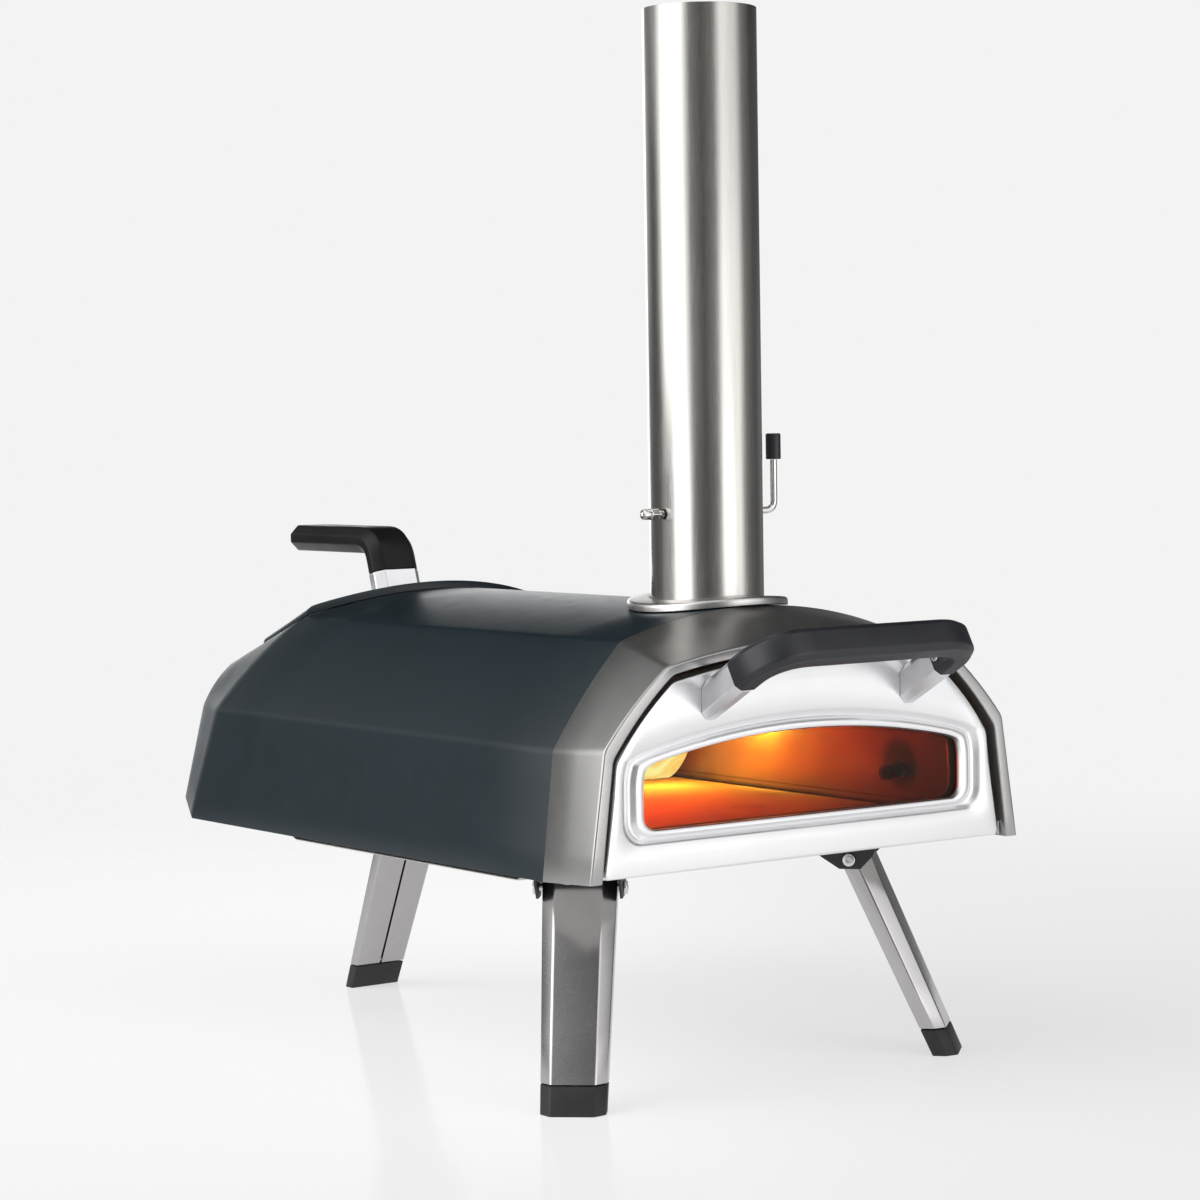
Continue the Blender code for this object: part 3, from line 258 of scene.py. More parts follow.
def turned(name, profile, centre, axis, segments=64):
    """Turned piece: (radius, height) points about an axis; a profile off the axis closes on itself."""
    turn = Vector(axis).to_track_quat("Z", "Y").to_matrix()
    centre = Vector(centre)
    rows = []
    for radius, height in profile:
        row = []
        for index in range(segments):
            angle = 2.0 * math.pi * index / segments
            point = Vector((radius * math.cos(angle), radius * math.sin(angle), height))
            row.append(centre + turn @ point)
        rows.append(row)
    if profile[0][0] > 0.0:
        return ring_loft(name, rows)
    vertices = [centre + turn @ Vector((0.0, 0.0, end[1])) for end in (profile[0], profile[-1])]
    vertices += [point for row in rows[1:-1] for point in row]
    faces = [tuple(index + 2 for index in face) for face in grid_faces(len(rows) - 2, segments, True)]
    last = 2 + (len(rows) - 3) * segments
    for index in range(segments):
        after = (index + 1) % segments
        faces.append((0, 2 + after, 2 + index))
        faces.append((1, last + index, last + after))
    return face_outward(mesh_piece(name, vertices, faces))


def rounded_profile(points, radii, steps=4):
    """Profile points with their corners rounded, one radius for each point between the ends."""
    rows = [[Vector((radius, 0.0, height))] for radius, height in points]
    return [(row[0].x, row[0].z) for row in rounded_rows(rows, radii, steps)]


def drum(radius, high, low, high_rim, low_rim, steps=4):
    """Profile of a solid drum with rounded rims."""
    corners = [(0.0, high), (radius, high), (radius, low), (0.0, low)]
    return rounded_profile(corners, (high_rim, low_rim), steps)

def cylinder(name, radius, length, centre, axis, segments=48):
    """Plain cylinder, used as a cutter."""
    half = 0.5 * length
    return turned(name, [(0.0, half), (radius, half), (radius, -half), (0.0, -half)], centre, axis, segments)


def cut(piece, *cutters):
    """Take other shapes out of a piece and remove them."""
    for cutter in cutters:
        difference = piece.modifiers.new("Cut", "BOOLEAN")
        difference.operation = "DIFFERENCE"
        difference.object = cutter
    apply_modifiers(piece)
    for cutter in cutters:
        bpy.data.objects.remove(cutter)
    return piece


def trimmed(piece, place, normal):
    """Take off the end of a piece beyond a plane and close it."""
    made = bmesh.new()
    made.from_mesh(piece.data)
    parts = made.verts[:] + made.edges[:] + made.faces[:]
    bmesh.ops.bisect_plane(made, geom=parts, plane_co=place + DATUM, plane_no=normal, clear_outer=True)
    bmesh.ops.holes_fill(made, edges=[edge for edge in made.edges if edge.is_boundary])
    made.to_mesh(piece.data)
    made.free()
    return face_outward(piece)


def merged(name, pieces):
    """One piece made of several separate bodies."""
    made = bmesh.new()
    for part in pieces:
        made.from_mesh(part.data)
        bpy.data.objects.remove(part)
    mesh = bpy.data.meshes.new(name)
    made.to_mesh(mesh)
    made.free()
    piece = bpy.data.objects.new(name, mesh)
    bpy.context.scene.collection.objects.link(piece)
    return piece


def stand_for(piece, material, *nodes, angle=35.0):
    """Give a piece its material and smooth shading, and let it stand for CAD nodes on their body."""
    piece.data.materials.clear()
    piece.data.materials.append(material)
    if angle:
        piece.data.shade_smooth()
        piece.data.set_sharp_from_angle(angle=math.radians(angle))
    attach(piece, BODY_OF[nodes[0]])
    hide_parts(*nodes)

def refine(node, material, width):
    """Copy of a CAD node with its flat faces made whole and its edges rounded."""
    made = bmesh.new()
    made.from_mesh(NODES[node].data)
    bmesh.ops.remove_doubles(made, verts=made.verts, dist=0.00001)
    bmesh.ops.dissolve_limit(made, angle_limit=math.radians(0.6), verts=made.verts, edges=made.edges)
    mesh = bpy.data.meshes.new(node + "_fine")
    made.to_mesh(mesh)
    made.free()
    piece = bpy.data.objects.new(node + "_fine", mesh)
    bpy.context.scene.collection.objects.link(piece)
    bevelled(piece, width, 30.0)
    mesh.shade_smooth()
    piece.modifiers.new("Flat faces", "WEIGHTED_NORMAL")
    apply_modifiers(piece)
    stand_for(piece, material, node, angle=None)


# ---------------------------------------------------------------- materials

class Graph:
    """Small helper that adds nodes to a node tree and links them."""

    def __init__(self, tree):
        self.tree = tree

    def add(self, kind, **settings):
        node = self.tree.nodes.new("ShaderNode" + kind)
        for key, value in settings.items():
            setattr(node, key, value)
        return node

    def link(self, source, target):
        self.tree.links.new(source, target)

    def ranged(self, value, low, high, from_low=0.0, from_high=1.0, curve="LINEAR"):
        """Value carried from one range into another."""
        node = self.add("MapRange", interpolation_type=curve)
        node.inputs["From Min"].default_value = from_low
        node.inputs["From Max"].default_value = from_high
        node.inputs["To Min"].default_value = low
        node.inputs["To Max"].default_value = high
        self.link(value, node.inputs["Value"])
        return node.outputs["Result"]

    def math(self, operation, *values):
        node = self.add("Math", operation=operation)
        for socket, value in zip(node.inputs, values):
            if isinstance(value, float):
                socket.default_value = value
            else:
                self.link(value, socket)
        return node.outputs["Value"]

    def mixed(self, share, first, second):
        """Colour between two colours or sockets."""
        node = self.add("Mix", data_type="RGBA")
        self.link(share, node.inputs["Factor"])
        sockets = [item for item in node.inputs if item.type == "RGBA"]
        for socket, value in zip(sockets, (first, second)):
            if isinstance(value, tuple):
                socket.default_value = (*value, 1.0)
            else:
                self.link(value, socket)
        return [item for item in node.outputs if item.type == "RGBA"][0]

class Nodes(Graph):
    """Nodes of one material, feeding its shader."""

    def __init__(self, name, colour, roughness, metallic):
        self.material = bpy.data.materials.new(name)
        self.material.use_nodes = True
        super().__init__(self.material.node_tree)
        self.shader = self.tree.nodes["Principled BSDF"]
        self.shader.inputs["Base Color"].default_value = (*colour, 1.0)
        self.shader.inputs["Roughness"].default_value = roughness
        self.shader.inputs["Metallic"].default_value = metallic
        self.place = self.add("TexCoord").outputs["Object"]

    def stretched(self, scale):
        """Object coordinates stretched along some axes."""
        mapping = self.add("Mapping")
        mapping.inputs["Scale"].default_value = scale
        self.link(self.place, mapping.inputs["Vector"])
        return mapping.outputs["Vector"]

    def noise(self, vector, scale, detail=2.0, rough=0.5, distortion=0.0):
        node = self.add("TexNoise")
        node.inputs["Scale"].default_value = scale
        node.inputs["Detail"].default_value = detail
        node.inputs["Roughness"].default_value = rough
        node.inputs["Distortion"].default_value = distortion
        self.link(vector, node.inputs["Vector"])
        return node.outputs["Fac"]

    def varied(self, value, colour, darker, lighter, low=0.3, high=0.7):
        """Colour between a darker and a lighter tone of itself, as a value rises from low to high."""
        share = self.ranged(value, 0.0, 1.0, low, high)
        return self.mixed(share, scaled(colour, darker), scaled(colour, lighter))

    def colour(self, socket):
        self.link(socket, self.shader.inputs["Base Color"])

    def roughness(self, socket):
        self.link(socket, self.shader.inputs["Roughness"])

    def bump(self, height, strength, distance):
        node = self.add("Bump")
        node.inputs["Strength"].default_value = strength
        node.inputs["Distance"].default_value = distance
        self.link(height, node.inputs["Height"])
        self.link(node.outputs["Normal"], self.shader.inputs["Normal"])

def scaled(colour, factor):
    """Colour made lighter or darker."""
    return tuple(min(1.0, channel * factor) for channel in colour)


def coated(name, colour, roughness, metallic=0.0, grain=900.0, bump=0.00006, fleck=0.0, edge=1.0):
    """Powder coat: fine orange peel, faint mottling, a little dust and metallic flecks where asked."""
    made = Nodes(name, colour, roughness, metallic)
    cloud = made.noise(made.place, 9.0, 3.0)
    peel = made.noise(made.place, grain, 2.0, 0.6)
    tint = made.varied(cloud, colour, 0.90, 1.12)
    if fleck:
        spots = made.ranged(made.noise(made.place, 2600.0, 1.0), 0.0, 1.0, 0.52, 0.72)
        tint = made.mixed(spots, tint, scaled(colour, 1.0 + fleck))
    made.colour(tint)
    dust = made.noise(made.place, 60.0, 5.0, 0.65)
    made.roughness(made.ranged(dust, roughness - 0.02, roughness + 0.03, 0.3, 0.7))
    made.bump(peel, 0.35, bump)
    made.shader.inputs["Specular Tint"].default_value = (edge, edge, edge, 1.0)
    return made.material


def brushed(name, colour, roughness, run, fineness, streak=0.12, bump=0.00002):
    """Brushed metal: long fine scratches along one direction, faint stains and varied gloss."""
    made = Nodes(name, colour, roughness, 1.0)
    lines = made.noise(made.stretched(run), fineness, 3.0, 0.7)
    wide = made.noise(made.stretched(run), fineness / 14.0, 2.0)
    stain = made.noise(made.place, 12.0, 4.0, 0.6)
    share = made.math("ADD", made.math("MULTIPLY", lines, 0.55), made.math("MULTIPLY", wide, 0.45))
    made.colour(made.varied(share, colour, 1.0 - streak, 1.0 + streak))
    scratch = made.ranged(lines, -0.05, 0.07, 0.3, 0.7)
    gloss = made.math("ADD", scratch, made.ranged(stain, -0.03, 0.04, 0.3, 0.7))
    made.roughness(made.math("ADD", gloss, roughness))
    made.bump(lines, 0.25, bump)
    return made.material


def moulded(name, colour, roughness, grain=1500.0, gloss=0.5):
    """Moulded plastic or rubber: fine spark-eroded texture and slightly varied gloss."""
    made = Nodes(name, colour, roughness, 0.0)
    texture = made.noise(made.place, grain, 2.0, 0.6)
    wear = made.noise(made.place, 40.0, 4.0, 0.6)
    made.colour(made.varied(wear, colour, 0.85, 1.25, 0.35))
    made.roughness(made.ranged(wear, roughness - 0.06, roughness + 0.08, 0.3, 0.7))
    made.bump(texture, 0.5, 0.00008)
    made.shader.inputs["Specular IOR Level"].default_value = gloss
    return made.material


def stone_like(name, colour):
    """Fired cordierite: grains, pores and faint scorch marks."""
    made = Nodes(name, colour, 0.85, 0.0)
    grain = made.noise(made.place, 700.0, 4.0, 0.7)
    scorch = made.noise(made.place, 14.0, 4.0, 0.6)
    tone = made.varied(grain, colour, 0.8, 1.15, 0.35, 0.65)
    made.colour(made.mixed(made.ranged(scorch, 0.0, 0.55, 0.5, 0.75), tone, scaled(colour, 0.35)))
    made.bump(grain, 0.6, 0.0003)
    return made.material


def fibrous(name, colour):
    """Ceramic fibre: soft felted strands."""
    made = Nodes(name, colour, 0.95, 0.0)
    strands = made.noise(made.stretched((1.0, 0.3, 1.0)), 420.0, 5.0, 0.75, 1.2)
    made.colour(made.varied(strands, colour, 0.78, 1.08))
    made.bump(strands, 0.8, 0.0008)
    return made.material


def clear(name, colour, tint):
    """Clear glass with faint smears; a higher tint lets less through."""
    roughness = 0.02
    made = Nodes(name, colour, roughness, 0.0)
    smear = made.noise(made.stretched((1.0, 1.0, 0.35)), 26.0, 5.0, 0.6)
    made.roughness(made.ranged(smear, roughness, roughness + 0.05, 0.45, 0.75))
    made.shader.inputs["Alpha"].default_value = tint
    made.shader.inputs["Specular IOR Level"].default_value = 0.1
    return made.material


def heat_tint_and_painted_shade(name, colour, roughness, shadow_line=None, shadow_spot=None):
    """Heat-tinted steel; given a shadow line it also gets painted shade: a black painted contact shadow at
    its foot with a thin painted shadow line above it, a painted shadow round a spot, and painted shade
    darker forward.
    """
    made = Nodes(name, colour, roughness, 0.45)
    heat = made.noise(made.place, 7.0, 4.0, 0.6)
    fine = made.noise(made.stretched((1.0, 0.05, 1.0)), 500.0, 3.0, 0.6)
    tone = made.mixed(made.ranged(heat, 0.0, 1.0, 0.35, 0.65), scaled(colour, 0.7), (0.50, 0.36, 0.20))
    wear_and_painted_shade = made.mixed(made.ranged(fine, 0.0, 0.5, 0.4, 0.8), tone, scaled(colour, 1.3))
    if shadow_line:
        split = made.add("SeparateXYZ")
        made.link(made.place, split.inputs["Vector"])
        height = split.outputs["Z"]
        # Painted contact shadow: black along the wall's foot just above the stone, and a thin painted shadow
        # line about 6 mm higher.
        foot = made.ranged(height, 1.0, 0.0, shadow_line, shadow_line + 0.0035)
        painted_line_distance = made.math("ABSOLUTE", made.math("SUBTRACT", height, shadow_line + 0.0062), 0.0)
        crease = made.ranged(painted_line_distance, 0.75, 0.0, 0.0, 0.0009)
        wear_and_painted_shade = made.mixed(made.math("MAXIMUM", foot, crease), wear_and_painted_shade, (0.010, 0.006, 0.004))
        # Painted shadow of the gauge probe as a dark patch round the spot, and painted shade darkening the
        # wall toward the mouth, away from the fire.
        along = made.math("SUBTRACT", split.outputs["Y"], shadow_spot.y)
        above = made.math("SUBTRACT", height, shadow_spot.z)
        square = made.math("ADD", made.math("MULTIPLY", along, along), made.math("MULTIPLY", above, above))
        reach = made.math("ADD", made.math("SQRT", square, 0.0), made.ranged(heat, -0.004, 0.004, 0.3, 0.7))
        wear_and_painted_shade = made.mixed(made.ranged(along, 0.72, 0.0, -0.066, 0.12), wear_and_painted_shade, (0.016, 0.007, 0.004))
        wear_and_painted_shade = made.mixed(made.ranged(reach, 0.95, 0.0, 0.012, 0.024), wear_and_painted_shade, (0.012, 0.006, 0.004))
    made.colour(wear_and_painted_shade)
    made.roughness(made.ranged(heat, roughness - 0.08, roughness + 0.12, 0.3, 0.7))
    made.bump(fine, 0.3, 0.00005)
    return made.material


NAVY = coated("navy_powder_coat", (0.004, 0.013, 0.019), 0.36, 0.0, 1100.0, 0.00005)
BEZEL = coated("grey_metallic_coat", (0.44, 0.435, 0.43), 0.30, 0.93, 1500.0, 0.00002, 0.30, 0.35)
BLACK = coated("black_coat", (0.018, 0.018, 0.020), 0.48, 0.1, 1300.0, 0.00006)
DOOR_STEEL = brushed("door_stainless", (0.84, 0.84, 0.85), 0.34, (0.03, 1.0, 1.0), 900.0, 0.012, 0.000003)
INNER_STEEL = brushed("inner_stainless", (0.55, 0.54, 0.52), 0.38, (0.05, 1.0, 1.0), 900.0)
PAN_STEEL = brushed("pan_stainless", (0.62, 0.61, 0.60), 0.34, (1.0, 0.04, 1.0), 900.0)
TUBE_STEEL = brushed("chimney_stainless", (0.52, 0.505, 0.48), 0.165, (1.0, 1.0, 0.03), 1500.0, 0.10)
LEG_STEEL = brushed("leg_stainless", (0.50, 0.49, 0.488), 0.22, (1.0, 1.0, 0.3), 2600.0, 0.03, 0.000001)
COLLAR_STEEL = brushed("collar_stainless", (0.62, 0.61, 0.60), 0.30, (0.4, 0.4, 0.4), 1600.0, 0.10)
BRIGHT = brushed("bright_steel", (0.70, 0.69, 0.68), 0.20, (1.0, 1.0, 1.0), 1800.0, 0.08)
ALUMINIUM = brushed("handle_aluminium", (0.92, 0.92, 0.94), 0.38, (1.0, 0.06, 0.06), 900.0, 0.015, 0.000004)
HOT_STEEL = heat_tint_and_painted_shade("heat_tinted_steel", (0.33, 0.28, 0.23), 0.42)
SOOT = moulded("soot_black", (0.010, 0.008, 0.007), 0.60)
PLASTIC = moulded("black_plastic", (0.015, 0.016, 0.021), 0.42)
PLASTIC_DARK = moulded("rear_grip_plastic", (0.006, 0.006, 0.007), 0.42, gloss=0.25)
RUBBER = moulded("foot_rubber", (0.014, 0.014, 0.015), 0.55, 1100.0)
STONE = stone_like("cordierite", (0.62, 0.46, 0.31))
WOOL = fibrous("ceramic_wool", (0.76, 0.75, 0.72))
ROPE = fibrous("gasket_rope", (0.22, 0.21, 0.20))
GLASS = clear("heat_glass", (0.030, 0.020, 0.016), 0.40)
LENS = clear("gauge_glass", (0.10, 0.11, 0.11), 0.06)
DIAL = coated("dial_enamel", (0.82, 0.82, 0.80), 0.40, 0.0, 700.0, 0.00002)
INK = coated("dial_ink", (0.03, 0.03, 0.03), 0.55, 0.0, 700.0, 0.00002)
RED = coated("needle_enamel", (0.52, 0.03, 0.02), 0.35, 0.0, 700.0, 0.00002)


# ---------------------------------------------------------------- body

FLUE = (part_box("chimney_tube")[0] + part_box("chimney_tube")[1]) / 2.0 - DATUM
FLUE_RADIUS = 0.0445
TUBE_WALL = 0.0009
DAMPER_Z = 0.263
GAUGE_Y = 0.095
GAUGE_Z = 0.0555
RETURN_DEPTH = 0.026
SEAM = 0.0001
FLUE_HOLE = 0.0455
GAUGE_HOLE = 0.0065
LINER_FLUE_HOLE = 0.0433
LINER_GAUGE_HOLE = 0.0070
# Height of the painted contact shadow along the liner's wall, just above the stone.
CONTACT_SHADOW_LINE = 0.0205
HATCH_LEAN = math.radians(17.3)
HATCH_OPENING = (0.064, 0.030)


def gauge_axis():
    """Foot of the thermometer on the shell's side, and the outward direction there."""
    lower, shoulder = SHELL_FRONT[:2]
    lean = lower[0] - shoulder[0]
    outward = Vector((shoulder[2], 0.0, lean)).normalized()
    return Vector((lower[0] - lean * GAUGE_Z / shoulder[2], GAUGE_Y, GAUGE_Z)), outward


def flue_cutter(radius, height):
    """Upright cutter on the flue's axis."""
    return cylinder("flue_cutter", radius, 0.1, (0.0, FLUE.y, height), (0, 0, 1))


def build_casing():
    """Coated shell, grey bezel with its rolled rim, and the rear cowl."""
    rows = [arch(between(SHELL_FRONT, SHELL_REAR, step / 6.0)) for step in range(7)]
    shell = sheet("shell_skin", rows)
    foot, outward = gauge_axis()
    cut(shell, flue_cutter(FLUE_HOLE, APEX), cylinder("gauge_cutter", GAUGE_HOLE, 0.06, foot, outward, 24))
    stand_for(shell, NAVY, "outer_shell")

    back_edge = tuple((x, y - SEAM, z) for x, y, z in SHELL_FRONT[:3])
    back_edge += ((SHELL_FRONT[3][0] - SEAM, APEX),)
    middle_edge = between(RIM_OUTER, back_edge, 0.5)
    rows = [arch(inset(RIM_INNER, 0.0, RETURN_DEPTH)), arch(RIM_INNER), arch(RIM_OUTER)]
    rows = rounded_rows(rows + [arch(middle_edge)], (0.0014, 0.0022), 5)
    rows.append(arch(back_edge))
    stand_for(sheet("bezel_skin", rows), BEZEL, "front_bezel")

    front_edge = tuple((x, y + SEAM, z) for x, y, z in SHELL_REAR[:3])
    front_edge += ((SHELL_REAR[3][0] + SEAM, APEX),)
    rows = [arch(between(front_edge, COWL_REAR, step / 4.0)) for step in range(4)]
    rows += rounded_rows([rows[-1], arch(COWL_REAR), arch(inset(COWL_REAR, 0.009))], (0.0022,), 5)[1:]
    cowl = sheet("cowl_skin", rows)
    cut(cowl, hatch_block("opening_cutter", HATCH_OPENING, -0.02, 0.03))
    stand_for(cowl, NAVY, "rear_cowl")


def hatch_block(name, half_size, low, high):
    """Box square to the sloping top at the hatch opening."""
    top_y = 0.5600
    front_y, front_z = SHELL_REAR[3]
    rear_y, rear_z = COWL_REAR[3]
    top_z = front_z + (rear_z - front_z) * (top_y - front_y) / (rear_y - front_y)
    normal = Vector((0.0, math.sin(HATCH_LEAN), math.cos(HATCH_LEAN)))
    along = Vector((0.0, math.cos(HATCH_LEAN), -math.sin(HATCH_LEAN)))
    centre = Vector((0.0, top_y, top_z))
    half_x, half_y = half_size
    loops = []
    for height in (low, high):
        base = centre + normal * height
        corners = ((-half_x, -half_y), (half_x, -half_y), (half_x, half_y), (-half_x, half_y))
        loops.append([base + Vector((x, 0.0, 0.0)) + along * y for x, y in corners])
    return solid_loft(name, loops)


def build_fixed_parts():
    """Pan, lining, fuel parts and rear panel, with softened edges."""
    soft_edges = (
        ("base_pan", PAN_STEEL, 0.0005),
        ("rear_panel", INNER_STEEL, 0.0003),
        ("burner_port_cover", NAVY, 0.0005),
        ("inner_floor", HOT_STEEL, 0.0003),
        ("front_plate", HOT_STEEL, 0.0003),
        ("flame_baffle", HOT_STEEL, 0.0003),
        ("fuel_box", HOT_STEEL, 0.0003),
        ("fuel_tray", HOT_STEEL, 0.0003),
        ("fuel_grate", HOT_STEEL, 0.0004),
        ("flue_socket", HOT_STEEL, 0.0002),
        ("pizza_stone", STONE, 0.0006),
        ("insulation_blanket", WOOL, 0.0015),
        ("door_hinge_left", BRIGHT, 0.0004),
        ("door_hinge_right", BRIGHT, 0.0004),
        ("door_back_plate", HOT_STEEL, 0.0003),
        ("door_glass", GLASS, 0.0004),
        ("handle_arm_left", ALUMINIUM, 0.0005),
        ("handle_arm_right", ALUMINIUM, 0.0005),
        ("hatch_stem", ALUMINIUM, 0.0005),
        ("hatch_plug", HOT_STEEL, 0.0008),
        ("damper_plate", HOT_STEEL, 0.0003),
        ("leg_bracket_front_left", BLACK, 0.0004),
        ("leg_bracket_front_right", BLACK, 0.0004),
        ("leg_bracket_rear", BLACK, 0.0004),
    )
    for node, material, width in soft_edges:
        refine(node, material, width)

    liner = sheet("liner_skin", [arch(inset(LINER, 0.0, y)) for y in (0.034, 0.166, 0.298, 0.430)])
    foot, outward = gauge_axis()
    gauge_cutter = cylinder("gauge_cutter", LINER_GAUGE_HOLE, 0.12, foot, outward, 24)
    cut(liner, flue_cutter(LINER_FLUE_HOLE, 0.15), gauge_cutter)
    # The wall's material carries painted shade: a painted contact shadow above the stone, a painted shadow
    # round the gauge probe and painted shade toward the mouth.
    painted_shade_wall_steel = heat_tint_and_painted_shade("heat_tinted_wall_painted_shade", (0.38, 0.21, 0.13), 0.40, DATUM.z + CONTACT_SHADOW_LINE, foot + DATUM)
    stand_for(liner, painted_shade_wall_steel, "inner_liner")


def build_collar():
    """Rounded saddle ring on the roof round the chimney's foot."""
    inner, outer = 0.0450, 0.0630
    lift, thick = 0.0009, 0.0062
    top = lift + thick
    corners = [(inner, lift + 0.002), (inner, top), (outer, top), (outer, lift), (inner, lift)]
    profile = rounded_profile(corners, (0.0010, 0.0030, 0.0006), 6)
    crown = SHELL_FRONT[2]
    segments = 128
    loops = []
    for radius, height in profile:
        loop = []
        for index in range(segments):
            angle = 2.0 * math.pi * index / segments
            x = radius * math.cos(angle)
            fall = (APEX - crown[2]) * (x / crown[0]) ** 2
            loop.append(Vector((x, FLUE.y + radius * math.sin(angle), APEX - fall + height)))
        loops.append(loop)
    stand_for(ring_loft("collar_ring", loops), COLLAR_STEEL, "flue_collar", angle=50.0)


# ---------------------------------------------------------------- chimney and damper

def build_chimney():
    """Thin brushed tube with a soft rim and the spindle's holes."""
    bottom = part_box("chimney_tube")[0].z - DATUM.z
    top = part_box("chimney_tube")[1].z - DATUM.z
    inner = FLUE_RADIUS - TUBE_WALL
    corners = [(inner, bottom), (inner, top), (FLUE_RADIUS, top), (FLUE_RADIUS, bottom)]
    profile = rounded_profile(corners, (0.0003, 0.0004), 2)
    tube = turned("chimney_skin", profile, (0.0, FLUE.y, 0.0), (0, 0, 1), 128)
    spindle = cylinder("spindle_cutter", 0.0031, 0.12, (0.0, FLUE.y, DAMPER_Z), (1, 0, 0), 24)
    cut(tube, spindle)
    stand_for(tube, TUBE_STEEL, "chimney_tube")


def circle(radius, count=20):
    """Points of a round section."""
    angles = [2.0 * math.pi * index / count for index in range(count)]
    return [(radius * math.cos(angle), radius * math.sin(angle)) for angle in angles]

def soft_octagon(width, height, chamfer, radius):
    """Chamfered rectangle with rounded corners."""
    across, up = 0.5 * width, 0.5 * height
    corners = [(across, up - chamfer), (across - chamfer, up)]
    corners += [(chamfer - across, up), (-across, up - chamfer)]
    corners += [(-x, -z) for x, z in corners]
    return closed_bends([Vector((x, z, 0.0)) for x, z in corners], radius)


def closed_bends(corners, radius, steps=3):
    """Closed outline with its corners rounded, as (u, v) pairs."""
    made = []
    for index, corner in enumerate(corners):
        before = corners[index - 1]
        after = corners[(index + 1) % len(corners)]
        made += [bend(before, corner, after, radius, step / steps) for step in range(steps + 1)]
    return [(point.x, point.y) for point in made]


def swept_rows(path, section, normal, scales=None):
    """Section loops mitred along a flat path; the section's height lies along the path's normal."""
    rows = []
    last = len(path) - 1
    for index, place in enumerate(path):
        before = (place - path[index - 1]).normalized() if index else None
        after = (path[index + 1] - place).normalized() if index < last else None
        before = before or after
        after = after or before
        along = (before + after).normalized()
        side = normal.cross(along).normalized()
        stretch = 1.0 / max(along.dot(after), 0.3)
        scale = scales[index] if scales else 1.0
        rows.append([place + side * (u * stretch * scale) + normal * (v * scale) for u, v in section])
    return rows


def cubic(points, steps):
    """Points on a cubic curve, both ends included."""
    a, b, c, d = points
    made = []
    for step in range(steps + 1):
        t = step / steps
        s = 1.0 - t
        made.append(a * s ** 3 + b * (3.0 * s * s * t) + c * (3.0 * s * t * t) + d * t ** 3)
    return made


def build_damper():
    """Bent spindle with its lever, knob, lock nut and sleeve."""
    radius = 0.0028
    lever_x, rise, corner = 0.0685, 0.0400, 0.0085
    level = Vector((0.0, FLUE.y, DAMPER_Z))
    start = -0.0640
    dome = [(radius * (1.0 - math.cos(a)), math.sin(a)) for a in (0.25, 0.6, 1.0, 1.57)]
    path = [level + Vector((start + along, 0.0, 0.0)) for along, _ in dome]
    scales = [size for _, size in dome]
    bend_start = level + Vector((lever_x - corner, 0.0, 0.0))
    bend_end = level + Vector((lever_x, 0.0, corner))
    elbow = level + Vector((lever_x, 0.0, 0.0))
    before, after = elbow - Vector((1, 0, 0)), elbow + Vector((0, 0, 1))
    curve = [bend(before, elbow, after, corner, step / 8.0) for step in range(9)]
    path += [bend_start.lerp(path[-1], 0.5)] + curve + [bend_end + Vector((0.0, 0.0, rise - corner))]
    scales += [1.0] * (len(path) - len(scales))
    rod = solid_loft("damper_spindle", swept_rows(path, circle(radius), Vector((0.0, 1.0, 0.0)), scales))
    profile = drum(0.0041, 0.0035, -0.0035, 0.0006, 0.0006, 2)
    sleeve = turned("damper_sleeve", profile, level + Vector((-0.0585, 0.0, 0.0)), (1, 0, 0), 24)
    stand_for(merged("damper_lever", [rod, sleeve]), BRIGHT, "damper_rod")

    length = 0.0205
    profile = drum(0.0060, length, 0.0, 0.0014, 0.0008)
    knob = turned("lever_knob", profile, level + Vector((lever_x, 0.0, rise + 0.0003)), (0, 0, 1), 40)
    stand_for(knob, PLASTIC, "damper_knob")

    refine("damper_nut", BRIGHT, 0.0006)


# ---------------------------------------------------------------- door

DOOR_FACE = 0.0044
DOOR_DEPTH = 0.0150
HANDLE_X = 0.003
HANDLE_ARM_X = 0.0972
HANDLE_BASE_Z = 0.1288
HANDLE_TILT = math.radians(29.3)
ARM_LENGTH = 0.0425
GRIP_REACH = 0.083
SCREW_REACH = 0.0495
SCREW_FACE = HANDLE_ARM_X - 0.01075


def build_door_skin():
    """Pressed stainless skin: lip and groove round the window, and a folded edge."""
    groove = (
        (0.00, 0.0055),
        (0.03, 0.0032),
        (0.08, 0.0014),
        (0.15, 0.0009),
        (0.33, 0.0008),
        (0.42, 0.0016),
        (0.50, 0.0034),
        (0.57, 0.0044),
        (0.64, 0.0045),
        (0.72, 0.0038),
        (0.82, 0.0020),
        (0.91, 0.0006),
        (1.00, 0.0000),
    )
    loops = []
    for share, depth in groove:
        section = between(WINDOW, GROOVE_EDGE, share)
        corner, crease = 0.011 + 0.006 * share, 0.006 + 0.004 * share
        loops.append(outline(section, DOOR_FACE + depth, corner, 0.0030, crease))
    land = outline(between(GROOVE_EDGE, DOOR_EDGE, 0.4), DOOR_FACE, 0.012, 0.0030, 0.006)
    face = outline(DOOR_EDGE, DOOR_FACE, 0.003)
    side = outline(DOOR_EDGE, DOOR_FACE + DOOR_DEPTH, 0.003)
    loops += rounded_rows([land, face, side], (0.0026,), 6)
    skin = sheet("door_skin", loops, 0.0010, closed=True, outward=False)
    cutters = []
    for sign in (-1, 1):
        cutters.append(cylinder("pin_cutter", 0.0024, 0.02, (sign * 0.1915, 0.0125, 0.0085), (1, 0, 0), 20))
    cut(skin, *cutters)
    stand_for(skin, DOOR_STEEL, "door_panel", angle=40.0)


